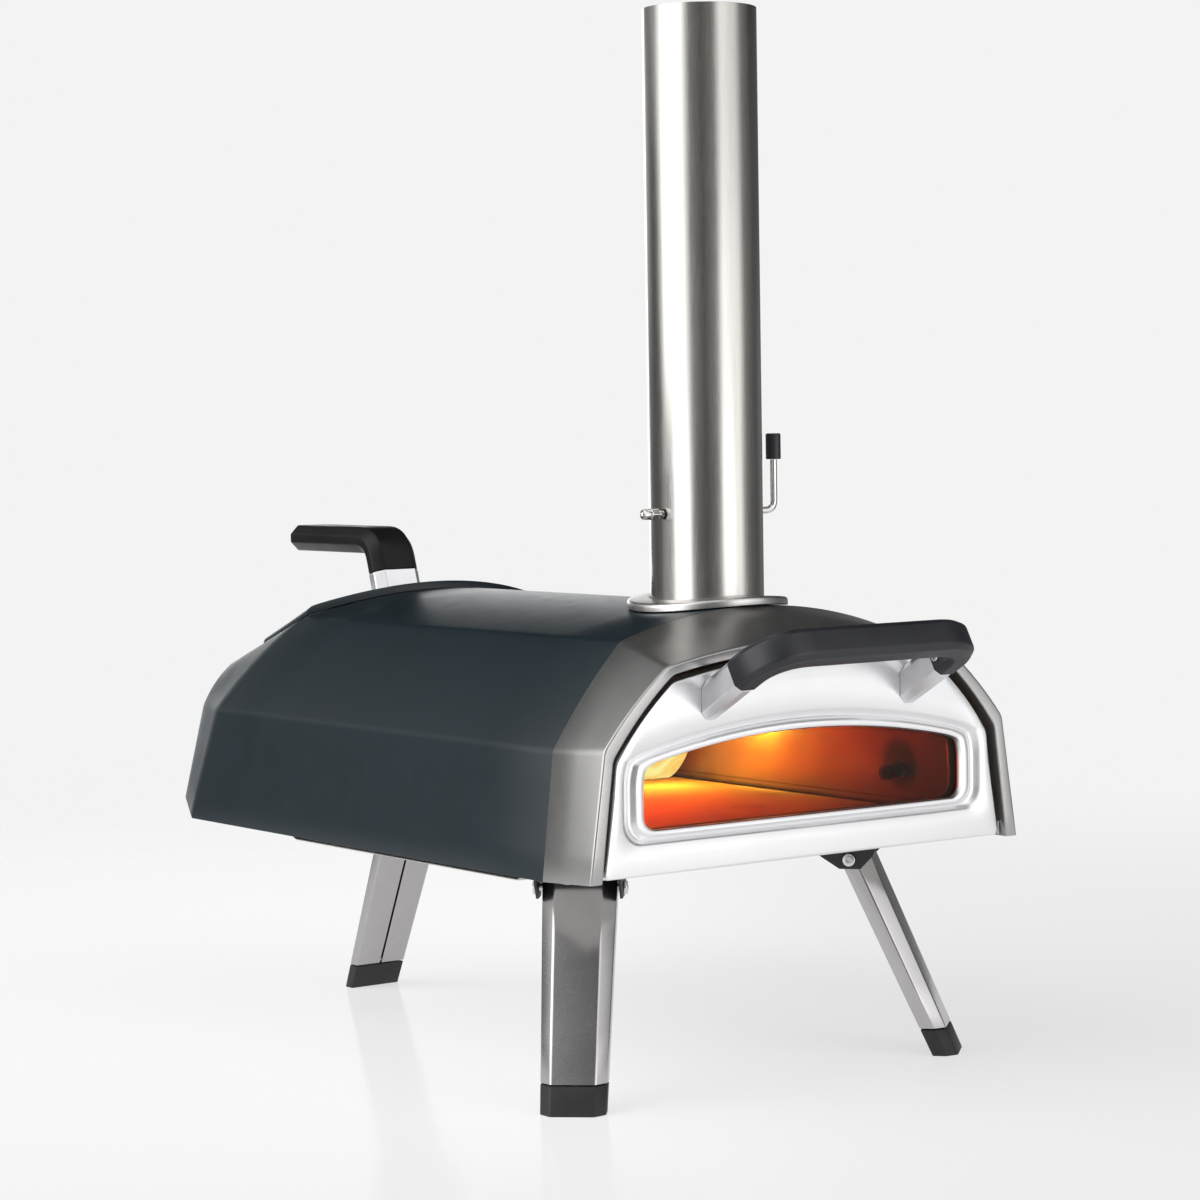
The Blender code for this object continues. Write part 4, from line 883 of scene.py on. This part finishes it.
def build_gasket():
    """Braided rope that seals the door against the mouth."""
    radius = 0.0026
    rope_y = DOOR_FACE + DOOR_DEPTH + 0.0018 + radius
    loops = []
    for across, deep in circle(radius, 14):
        loops.append(outline(inset_all(WINDOW, -0.0200 + across), rope_y + deep, 0.012, 0.004, 0.006))
    stand_for(ring_loft("gasket_rope", loops), ROPE, "door_gasket", angle=80.0)


def handle_point(x, reach):
    """Point on the door handle's tilted plane: sideways and out from the door."""
    out = Vector((0.0, -math.cos(HANDLE_TILT), math.sin(HANDLE_TILT)))
    return Vector((HANDLE_X + x, DOOR_FACE, HANDLE_BASE_Z)) + out * reach

def build_door_grip():
    """Black grip with eight soft-edged sides, bent round at its two ends."""
    corner = ((HANDLE_ARM_X, 0.053), (HANDLE_ARM_X, 0.0695), (0.0865, GRIP_REACH), (0.062, GRIP_REACH))
    half = [Vector((HANDLE_ARM_X, ARM_LENGTH + extra, 0.0)) for extra in (0.0, 0.0008)]
    half += cubic([Vector((x, reach, 0.0)) for x, reach in corner], 14)
    right = [handle_point(point.x, point.y) for point in half]
    left = [handle_point(-point.x, point.y) for point in half]
    path = left + [handle_point(0.0, GRIP_REACH)] + right[::-1]
    scales = [0.94] + [1.0] * (len(path) - 2) + [0.94]
    normal = Vector((0.0, math.sin(HANDLE_TILT), math.cos(HANDLE_TILT)))
    section = soft_octagon(0.0215, 0.0257, 0.0044, 0.0010)
    grip = solid_loft("grip_bar", swept_rows(path, section, normal, scales))
    stand_for(grip, PLASTIC, "door_grip", angle=32.0)

    for sign, name in ((-1, "grip_screw_left"), (1, "grip_screw_right")):
        place = handle_point(sign * (SCREW_FACE - 0.0003), SCREW_REACH)
        screw = cross_screw(name + "_head", place, (-sign, 0, 0), 0.0036, 0.0016)
        stand_for(screw, BRIGHT, name)


def cross_screw(name, place, axis, radius, height):
    """Domed screw head with a cross recess."""
    head = turned(name, drum(radius, height, 0.0, 0.45 * height, 0.0002, 3), place, axis, 32)
    axis = Vector(axis)
    turn = axis.to_track_quat("Z", "Y").to_matrix()
    arms = []
    for long_x, long_y in ((0.62, 0.14), (0.14, 0.62)):
        loops = []
        for depth in (0.35 * height, 2.0 * height):
            corners = ((-1, -1), (1, -1), (1, 1), (-1, 1))
            flat = [Vector((x * long_x * radius, y * long_y * radius, depth)) for x, y in corners]
            loops.append([place + turn @ point for point in flat])
        arms.append(solid_loft("recess_cutter", loops))
    return cut(head, *arms)


# ---------------------------------------------------------------- hatch

HATCH_HEIGHT = 0.0092
HATCH_TAPER = 0.18
STEM_FOOT = Vector((0.0, 0.5745, 0.1774))
STEM_LENGTH = 0.0272
REAR_GRIP_Z = 0.232
REAR_GRIP_END = 0.726


def along_points(points, position):
    """Point at a fractional index of a list of points."""
    step = min(int(position), len(points) - 2)
    return points[step].lerp(points[step + 1], position - step)


def build_hatch():
    """Raised lid over the fuel hatch, and its L-shaped grip."""
    front, rear = arch(SHELL_REAR), arch(COWL_REAR)
    last = len(front) - 1
    lift = 0.0023
    middle = 0.5 * last

    def surface(position, share):
        return along_points(front, position).lerp(along_points(rear, position), share)

    def normal(position, share):
        across = surface(position + 0.3, share) - surface(position - 0.3, share)
        back = surface(position, share + 0.05) - surface(position, share - 0.05)
        return across.cross(back).normalized()

    first = 24.2
    rise = ((0.0, 0.25), (0.12, 0.48), (0.30, 0.66), (0.50, 0.78), (0.90, 0.90), (1.40, 0.97), (2.00, 1.0))
    left = [(first + step, height) for step, height in rise]
    left += [(float(index), 1.0) for index in range(int(first) + 3, last // 2)]
    stations = left + [(middle, 1.0)] + [(last - position, height) for position, height in reversed(left)]
    start, end = 0.060, 0.920
    wall = ((0.0, 0.25), (0.0010, 0.55), (0.0025, 0.80), (0.0060, 0.93), (0.0130, 0.99), (0.0220, 1.0))
    levels = [(start + step, height) for step, height in wall]
    levels += [(start + (end - start) * share, 1.0) for share in (0.25, 0.5, 0.75)]
    levels += [(end - step, height) for step, height in reversed(wall)]
    rows = []
    for share, level in levels:
        row = []
        for position, edge in stations:
            position = middle + (position - middle) * (1.0 - HATCH_TAPER * share)
            height = max(lift, HATCH_HEIGHT * min(level, edge))
            row.append(surface(position, share) + normal(position, share) * height)
        rows.append(row)
    stand_for(sheet("lid_skin", rows, 0.0012), NAVY, "hatch_lid")

    lean = Vector((0.0, math.sin(HATCH_LEAN), math.cos(HATCH_LEAN)))
    across = Vector((1.0, 0.0, 0.0))
    foot = STEM_FOOT + lean * STEM_LENGTH
    elbow = [foot + lean * 0.0108, foot + lean * 0.0253]
    elbow += [Vector((0.0, y, REAR_GRIP_Z)) for y in (0.5960, 0.6120)]
    path = [foot, foot + lean * 0.0008] + cubic(elbow, 12)
    path += [Vector((0.0, REAR_GRIP_END - back, REAR_GRIP_Z)) for back in (0.0055, 0.0045, 0.0)]
    scales = [0.94] + [1.0] * (len(path) - 3) + [0.985, 0.74]
    section = soft_octagon(0.0235, 0.047, 0.008, 0.0012)
    grip = solid_loft("hatch_grip_bar", swept_rows(path, section, across, scales))
    stand_for(grip, PLASTIC_DARK, "hatch_grip", angle=32.0)


# ---------------------------------------------------------------- legs

PIVOT_DROP = 0.0175
LEG_RUN = 0.0720
CAP_HEIGHT = 0.021
LEG_TOP = dict(half_flat=0.0185, chamfer=0.0105, side=0.0125, front=0.0150)
LEG_FOOT = dict(half_flat=0.0165, chamfer=0.0078, side=0.0100, front=0.0108)
LEG_SLIT = 0.0022
TRIM_ANGLE = math.radians(145.0)
TRIM_REACH = 0.0100
LEGS = (
    ("front_left", math.pi + math.radians(48.0), (-0.185, 0.060)),
    ("front_right", -math.radians(48.0), (0.185, 0.060)),
    ("rear", 0.5 * math.pi, (0.0, 0.635)),
)


def leg_section(size, place, splay):
    """Outer corners of the folded leg section, from one lip round the front to the other lip."""
    half = size["half_flat"] + size["chamfer"]
    front = size["front"]
    back = front - size["side"] - size["chamfer"]
    side = back + size["side"]
    right = [(back, 0.5 * LEG_SLIT), (back, half), (side, half), (front, size["half_flat"])]
    corners = right + [(out, -across) for out, across in reversed(right)]
    facing = Vector((math.cos(splay), 0.0, math.sin(splay)))
    return [place + facing * out + Vector((0.0, across, 0.0)) for out, across in corners]


def on_level(upper, lower, height):
    """Points where the lines between two rows reach a height."""
    row = []
    for top, foot in zip(upper, lower):
        share = (height - top.z) / (foot.z - top.z)
        row.append(top.lerp(foot, share))
    return row


def open_bends(corners, radius, steps=4):
    """Open line of points with its inner corners rounded."""
    made = [corners[0]]
    for before, corner, after in zip(corners, corners[1:], corners[2:]):
        made += [bend(before, corner, after, radius, step / steps) for step in range(steps + 1)]
    return made + [corners[-1]]


def build_leg(name, heading, foot):
    """Folded leg tube with its slit, foot cap and pivot bolt."""
    outward = Vector((math.cos(heading), math.sin(heading), 0.0))
    place = Vector((foot[0], foot[1], 0.0)) - outward * LEG_RUN
    place.z = -PIVOT_DROP
    drop = DATUM.z - PIVOT_DROP
    splay = math.atan2(LEG_RUN, drop)
    along = Vector((math.sin(splay), 0.0, -math.cos(splay)))
    upper = leg_section(LEG_TOP, along * -0.0150, splay)
    lower = leg_section(LEG_FOOT, along * math.hypot(LEG_RUN, drop) * 1.1, splay)
    turn = Matrix.Rotation(heading, 4, "Z")
    shift = Matrix.Translation(place)

    rows = []
    for level in (PIVOT_DROP - 0.0088, -0.05, -0.10, CAP_HEIGHT + 0.0012 - drop):
        corners = [shift @ turn @ point for point in on_level(upper, lower, level)]
        rows.append(open_bends(corners, 0.0016))
    leg = sheet("leg_tube_" + name, rows, 0.0014)
    across = turn @ Vector((0.0, 1.0, 0.0))
    hole = cylinder("bolt_cutter", 0.0033, 0.1, place, across, 24)
    trim_way = turn @ Vector((math.cos(TRIM_ANGLE), 0.0, math.sin(TRIM_ANGLE)))
    trimmed(cut(leg, hole), place + trim_way * TRIM_REACH, trim_way)
    stand_for(leg, LEG_STEEL, "leg_" + name, angle=40.0)

    loops = []
    for level in (CAP_HEIGHT, 0.0):
        corners = [shift @ turn @ point for point in on_level(upper, lower, level - drop)[1:-1]]
        flat = closed_bends([Vector((point.x, point.y, 0.0)) for point in corners], 0.0014)
        loops.append([Vector((x, y, corners[0].z)) for x, y in flat])
    cap = bevelled(solid_loft("foot_cap_fine_" + name, loops), 0.0007, 50.0)
    stand_for(apply_modifiers(cap), RUBBER, "foot_cap_" + name, angle=40.0)

    grip, head, head_length, shank = 0.0333, 0.0052, 0.0030, 0.0030
    end = grip + head_length
    half = [(0.0, end), (head, end), (head, grip), (shank, grip)]
    rounding = (0.0012, 0.0002, 0.0003)
    profile = rounded_profile(half + [(r, -h) for r, h in reversed(half)], rounding + rounding[::-1], 3)
    bolt = turned("bolt_" + name, profile, place, across, 32)
    recesses = [
        cylinder("hex_cutter", 0.0024, 0.0040, place + across * side * end, across, 6)
        for side in (-1, 1)
    ]
    stand_for(cut(bolt, *recesses), BRIGHT, "pivot_bolt_" + name)


# ---------------------------------------------------------------- thermometer

def build_gauge():
    """Bright case, marked dial, domed lens, needle and the ribbed probe inside the wall."""
    foot, outward = gauge_axis()
    foot += outward * 0.0006
    radius, depth, floor = 0.0240, 0.0110, 0.0030
    corners = [
        (0.0, floor),
        (radius - 0.0025, floor),
        (radius - 0.0025, depth),
        (radius, depth),
        (radius, 0.0),
        (0.0, 0.0),
    ]
    profile = rounded_profile(corners, (0.0003, 0.0006, 0.0016, 0.0003), 4)
    stand_for(turned("gauge_case", profile, foot, outward, 96), BRIGHT, "thermometer_case")

    dial_level = floor + 0.0004
    dial = [(0.0, 0.0006), (0.0210, 0.0006), (0.0210, 0.0), (0.0, 0.0)]
    plate = turned("gauge_plate", dial, foot + outward * dial_level, outward, 64)
    stand_for(plate, DIAL, "thermometer_dial")
    side = Vector((0.0, 1.0, 0.0))
    up = outward.cross(side)

    def flat_piece(name, degrees, corners, low, high):
        """Thin piece over the dial, its corners given from the middle out and across."""
        angle = math.radians(degrees)
        way = up * math.cos(angle) + side * math.sin(angle)
        across = outward.cross(way)
        loops = []
        for height in (low, high):
            loops.append([foot + outward * height + way * r + across * c for r, c in corners])
        return solid_loft(name, loops)

    marks = []
    count, first, sweep, far = 25, -120.0, 240.0, 0.0190
    for index in range(count):
        near, half = (0.0145, 0.00040) if index % 4 == 0 else (0.0165, 0.00022)
        corners = ((near, -half), (far, -half), (far, half), (near, half))
        degrees = first + sweep * index / (count - 1)
        marks.append(flat_piece("mark", degrees, corners, dial_level + 0.00065, dial_level + 0.00085))
    ticks = merged("dial_marks", marks)
    ticks.data.materials.append(INK)
    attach(ticks, BODY_OF["thermometer_dial"])

    lens_low = depth - 0.0022
    dome = [(0.0, 0.0016), (0.0080, 0.0014), (0.0150, 0.0009), (0.0208, 0.0)]
    dome += [(0.0208, -0.0008), (0.0, -0.0008)]
    lens = turned("gauge_lens_dome", dome, foot + outward * lens_low, outward, 64)
    stand_for(lens, LENS, "thermometer_lens", angle=30.0)

    level = 0.0058
    corners = ((-0.0045, -0.0009), (0.0160, -0.00025), (0.0160, 0.00025), (-0.0045, 0.0009))
    pointer = flat_piece("pointer", first, corners, level - 0.0003, level + 0.0003)
    hub_profile = drum(0.0021, 0.0010, -0.0010, 0.0005, 0.0002, 3)
    hub = turned("hub", hub_profile, foot + outward * level, outward, 24)
    stand_for(merged("gauge_pointer", [pointer, hub]), RED, "thermometer_needle")

    start, length = -0.0004, 0.0560
    core, rib = 0.0030, 0.0060
    points = [(0.0, start), (core, start)]
    ribs, pitch = 6, 0.0030
    for index in range(ribs):
        height = start - length + 0.0035 + pitch * (ribs - 1 - index)
        points += [(core, height + 0.0009), (rib, height + 0.0005)]
        points += [(rib, height - 0.0005), (core, height - 0.0009)]
    points += [(core, start - length), (0.0, start - length)]
    probe = turned("gauge_probe", points, foot, outward, 32)
    stand_for(probe, SOOT, "thermometer_probe", angle=40.0)


def build_port_screws():
    """Two screws on the burner port cover."""
    for node in ("port_screw_left", "port_screw_right"):
        low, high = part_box(node)
        place = (low + high) / 2.0 - DATUM
        place.y = low.y - DATUM.y
        stand_for(cross_screw(node + "_head", place, (0, 1, 0), 0.0042, 0.0024), BRIGHT, node)

# ---------------------------------------------------------------- studio

CAMERA_PLACE = Vector((-1.5691, -2.1953, 0.5122))
CAMERA_AZIMUTH = math.radians(-36.184)
CAMERA_ELEVATION = math.radians(3.164)
CAMERA_ROLL = math.radians(-0.918)
CAMERA_LENS = 97.457
PALE = 0.896


# Studio surround: (degrees from the photo's side, brightness), at the horizon, just above it and higher up
LOW_PANELS = (
    (-180, 3.00), (-166, 3.00), (-157, 1.60), (-147, 0.22), (-123, 0.13), (-106, 0.16), (-94, 0.40),
    (-78, 0.46), (-71, 1.10), (-66, 2.50), (-36, 2.50), (-29, 0.60), (-19, 0.22), (0, 0.11), (19, 0.22),
    (29, 0.60), (36, 2.50), (54, 2.50), (62, 1.80), (74, 1.60), (82, 0.60), (92, 0.26), (106, 0.16),
    (123, 0.12), (147, 0.22), (157, 0.16), (168, 0.20), (174, 0.60), (180, 2.30),
)
MIDDLE_PANELS = (
    (-180, 3.00), (-163, 3.00), (-150, 0.60), (-125, 0.14), (-112, 0.16), (-103, 0.40), (-94, 1.30),
    (-86, 3.00), (-44, 2.60), (-26, 0.40), (0, 0.12), (26, 0.40), (40, 2.20), (60, 1.70), (76, 1.50),
    (90, 0.30), (120, 0.12), (150, 0.10), (168, 0.15), (175, 0.50), (180, 2.30),
)
HIGH_PANELS = (
    (-180, 0.02), (-148, 0.05), (-132, 0.30), (-108, 0.55), (-94, 1.80), (-86, 3.00), (-44, 2.40),
    (-26, 0.30), (0, 0.12), (26, 0.30), (42, 1.60), (76, 1.05), (90, 0.30), (120, 0.06), (180, 0.02),
)
BRIGHTEST = 3.0
CEILING = 0.12
FLOOR_GLOW = 0.64
KEY_POWER = 12.0
FIRE_POWER = 5.8


def place_camera():
    """Camera in front, to the left and a little above the oven."""
    level = math.cos(CAMERA_ELEVATION)
    sine, cosine = math.sin(CAMERA_AZIMUTH), math.cos(CAMERA_AZIMUTH)
    back = Vector((sine * level, -cosine * level, math.sin(CAMERA_ELEVATION)))
    right = Vector((cosine, sine, 0.0))
    up = back.cross(right)
    rolled_right = right * math.cos(CAMERA_ROLL) + up * math.sin(CAMERA_ROLL)
    rolled_up = up * math.cos(CAMERA_ROLL) - right * math.sin(CAMERA_ROLL)
    data = bpy.data.cameras.new("camera")
    data.lens = CAMERA_LENS
    data.sensor_width = 36.0
    camera = bpy.data.objects.new("camera", data)
    turn = Matrix((rolled_right, rolled_up, back)).transposed().to_4x4()
    camera.matrix_world = Matrix.Translation(CAMERA_PLACE) @ turn
    bpy.context.scene.collection.objects.link(camera)
    bpy.context.scene.camera = camera


def build_world():
    """Studio surround: tall bright panels and dark gaps round the oven, and a pale backdrop."""
    world = bpy.data.worlds.new("studio")
    bpy.context.scene.world = world
    world.use_nodes = True
    world.node_tree.nodes.clear()
    made = Graph(world.node_tree)
    split = made.add("SeparateXYZ")
    made.link(made.add("TexCoord").outputs["Generated"], split.inputs["Vector"])
    x, y, z = split.outputs
    turn = made.math("ARCTAN2", x, made.math("MULTIPLY", y, -1.0))
    relative = made.math("WRAP", made.math("SUBTRACT", turn, CAMERA_AZIMUTH), math.pi, -math.pi)
    share = made.math("ADD", made.math("DIVIDE", relative, 2.0 * math.pi), 0.5)

    def ring(panels):
        """Brightness round the oven, from (degrees from the photo's side, brightness) pairs."""
        ramp = made.add("ValToRGB")
        stops = ramp.color_ramp.elements
        for number, (angle, brightness) in enumerate(panels):
            position = angle / 360.0 + 0.5
            stop = stops[number] if number < 2 else stops.new(position)
            stop.position = position
            tone = brightness / BRIGHTEST
            stop.color = (tone, tone, tone, 1.0)
        made.link(share, ramp.inputs["Fac"])
        return ramp.outputs["Color"]

    def higher(lower, upper, low, high):
        """Change from a lower to an upper tone between two heights of the direction."""
        return made.mixed(made.ranged(z, 0.0, 1.0, low, high, "SMOOTHSTEP"), lower, upper)

    around = higher(ring(LOW_PANELS), ring(MIDDLE_PANELS), 0.05, 0.12)
    around = higher(around, ring(HIGH_PANELS), 0.17, 0.30)
    studio = made.add("Background")
    ceiling = (CEILING / BRIGHTEST,) * 3
    made.link(higher(around, ceiling, 0.78, 0.92), studio.inputs["Color"])
    studio.inputs["Strength"].default_value = BRIGHTEST

    plain = made.add("Background")
    plain.inputs["Color"].default_value = (PALE, PALE, PALE, 1.0)
    choice = made.add("MixShader")
    made.link(made.add("LightPath").outputs["Is Camera Ray"], choice.inputs["Fac"])
    made.link(studio.outputs["Background"], choice.inputs[1])
    made.link(plain.outputs["Background"], choice.inputs[2])
    made.link(choice.outputs["Shader"], made.add("OutputWorld").inputs["Surface"])

def area_light(name, place, target, size, power, colour=(1.0, 1.0, 1.0)):
    """Soft rectangular light aimed at a point."""
    data = bpy.data.lights.new(name, "AREA")
    data.shape = "RECTANGLE"
    data.size, data.size_y = size
    data.energy = power
    data.color = colour
    light = bpy.data.objects.new(name, data)
    light.location = place
    light.rotation_euler = (Vector(target) - Vector(place)).to_track_quat("-Z", "Y").to_euler()
    light.visible_camera = False
    bpy.context.scene.collection.objects.link(light)


def build_floor():
    """Pale floor that fades into the backdrop well outside the oven's shadow."""
    mesh = bpy.data.meshes.new("floor")
    made = bmesh.new()
    bmesh.ops.create_circle(made, cap_ends=True, segments=96, radius=2.4)
    made.to_mesh(mesh)
    made.free()
    floor = bpy.data.objects.new("floor", mesh)
    bpy.context.scene.collection.objects.link(floor)
    made = Nodes("floor_paper", (0.33, 0.33, 0.33), 0.9, 0.0)
    shader = made.shader
    shader.inputs["Specular IOR Level"].default_value = 0.0
    shader.inputs["Emission Color"].default_value = (1.0, 1.0, 1.0, 1.0)
    shader.inputs["Emission Strength"].default_value = FLOOR_GLOW
    gloss = made.add("BsdfGlossy")
    gloss.inputs["Roughness"].default_value = 0.12
    blend = made.add("MixShader")
    blend.inputs["Fac"].default_value = 0.05
    made.link(shader.outputs["BSDF"], blend.inputs[1])
    made.link(gloss.outputs["BSDF"], blend.inputs[2])

    distance = made.add("VectorMath", operation="LENGTH")
    made.link(made.place, distance.inputs[0])
    surface = made.add("MixShader")
    fade = made.ranged(distance.outputs["Value"], 0.0, 1.0, 0.75, 1.9, "SMOOTHSTEP")
    made.link(fade, surface.inputs["Fac"])
    made.link(blend.outputs["Shader"], surface.inputs[1])
    made.link(made.add("BsdfTransparent").outputs["BSDF"], surface.inputs[2])
    made.link(surface.outputs["Shader"], made.tree.nodes["Material Output"].inputs["Surface"])
    mesh.materials.append(made.material)


def light_studio():
    """Soft key light from above the camera's left, and the fire's glow inside the oven."""
    area_light("key", (-0.6, -0.4, 2.4), (0.0, 0.0, 0.1), (2.2, 2.2), KEY_POWER)
    ember = (1.0, 0.050, 0.010)
    flame = (1.0, 0.62, 0.04)
    rear = DATUM + Vector((0.085, 0.375, 0.075))
    area_light("fire_rear", rear, DATUM + Vector((-0.01, 0.14, 0.0)), (0.10, 0.04), FIRE_POWER, ember)
    hearth = DATUM + Vector((0.115, 0.335, 0.062))
    below = hearth - Vector((0.0, 0.01, 0.05))
    area_light("fire_hearth", hearth, below, (0.06, 0.03), 0.035 * FIRE_POWER, flame)
    spot = DATUM + Vector((0.150, 0.272, 0.080))
    wall = spot + Vector((0.05, 0.0, -0.010))
    area_light("fire_wall", spot, wall, (0.012, 0.024), 0.045 * FIRE_POWER, flame)

def build_flame():
    """Curtain of flame in front of the rear baffle, curling forward under the roof."""
    rows = []
    for step in range(17):
        rise = step / 16.0
        z = 0.017 + 0.100 * rise ** 2.1
        reach = min(0.163, 0.163 - (z - 0.078))
        row = []
        for index in range(25):
            side = index / 24.0
            lick = math.sin(11.0 * side + 0.6)
            y = 0.414 - (0.086 + 0.006 * lick) * rise ** 0.85
            row.append(Vector((0.07 + (reach - 0.07) * side, y, z)))
        rows.append(row)
    vertices = [point for row in rows for point in row]
    flame = mesh_piece("flame", vertices, grid_faces(len(rows), len(rows[0]), False))
    flame.data.shade_smooth()
    made = Nodes("flame_glow", (0.0, 0.0, 0.0), 1.0, 0.0)
    swirl = made.noise(made.stretched((1.0, 1.0, 0.35)), 24.0, 4.0, 0.6, 1.4)
    heat = made.ranged(swirl, 0.0, 1.0, 0.35, 0.68)
    glow = made.mixed(heat, (1.0, 0.46, 0.025), (1.0, 0.95, 0.36))
    made.link(glow, made.shader.inputs["Emission Color"])
    made.shader.inputs["Emission Strength"].default_value = 2.6
    made.shader.inputs["Specular IOR Level"].default_value = 0.0
    flame.data.materials.append(made.material)
    flame.visible_diffuse = False


bpy.context.scene.view_settings.view_transform = "Standard"
build_casing()
build_fixed_parts()
build_collar()
build_chimney()
build_damper()
build_door_skin()
build_gasket()
build_door_grip()
build_hatch()
for leg in LEGS:
    build_leg(*leg)
build_gauge()
build_port_screws()

place_camera()
build_world()
build_floor()
light_studio()
build_flame()
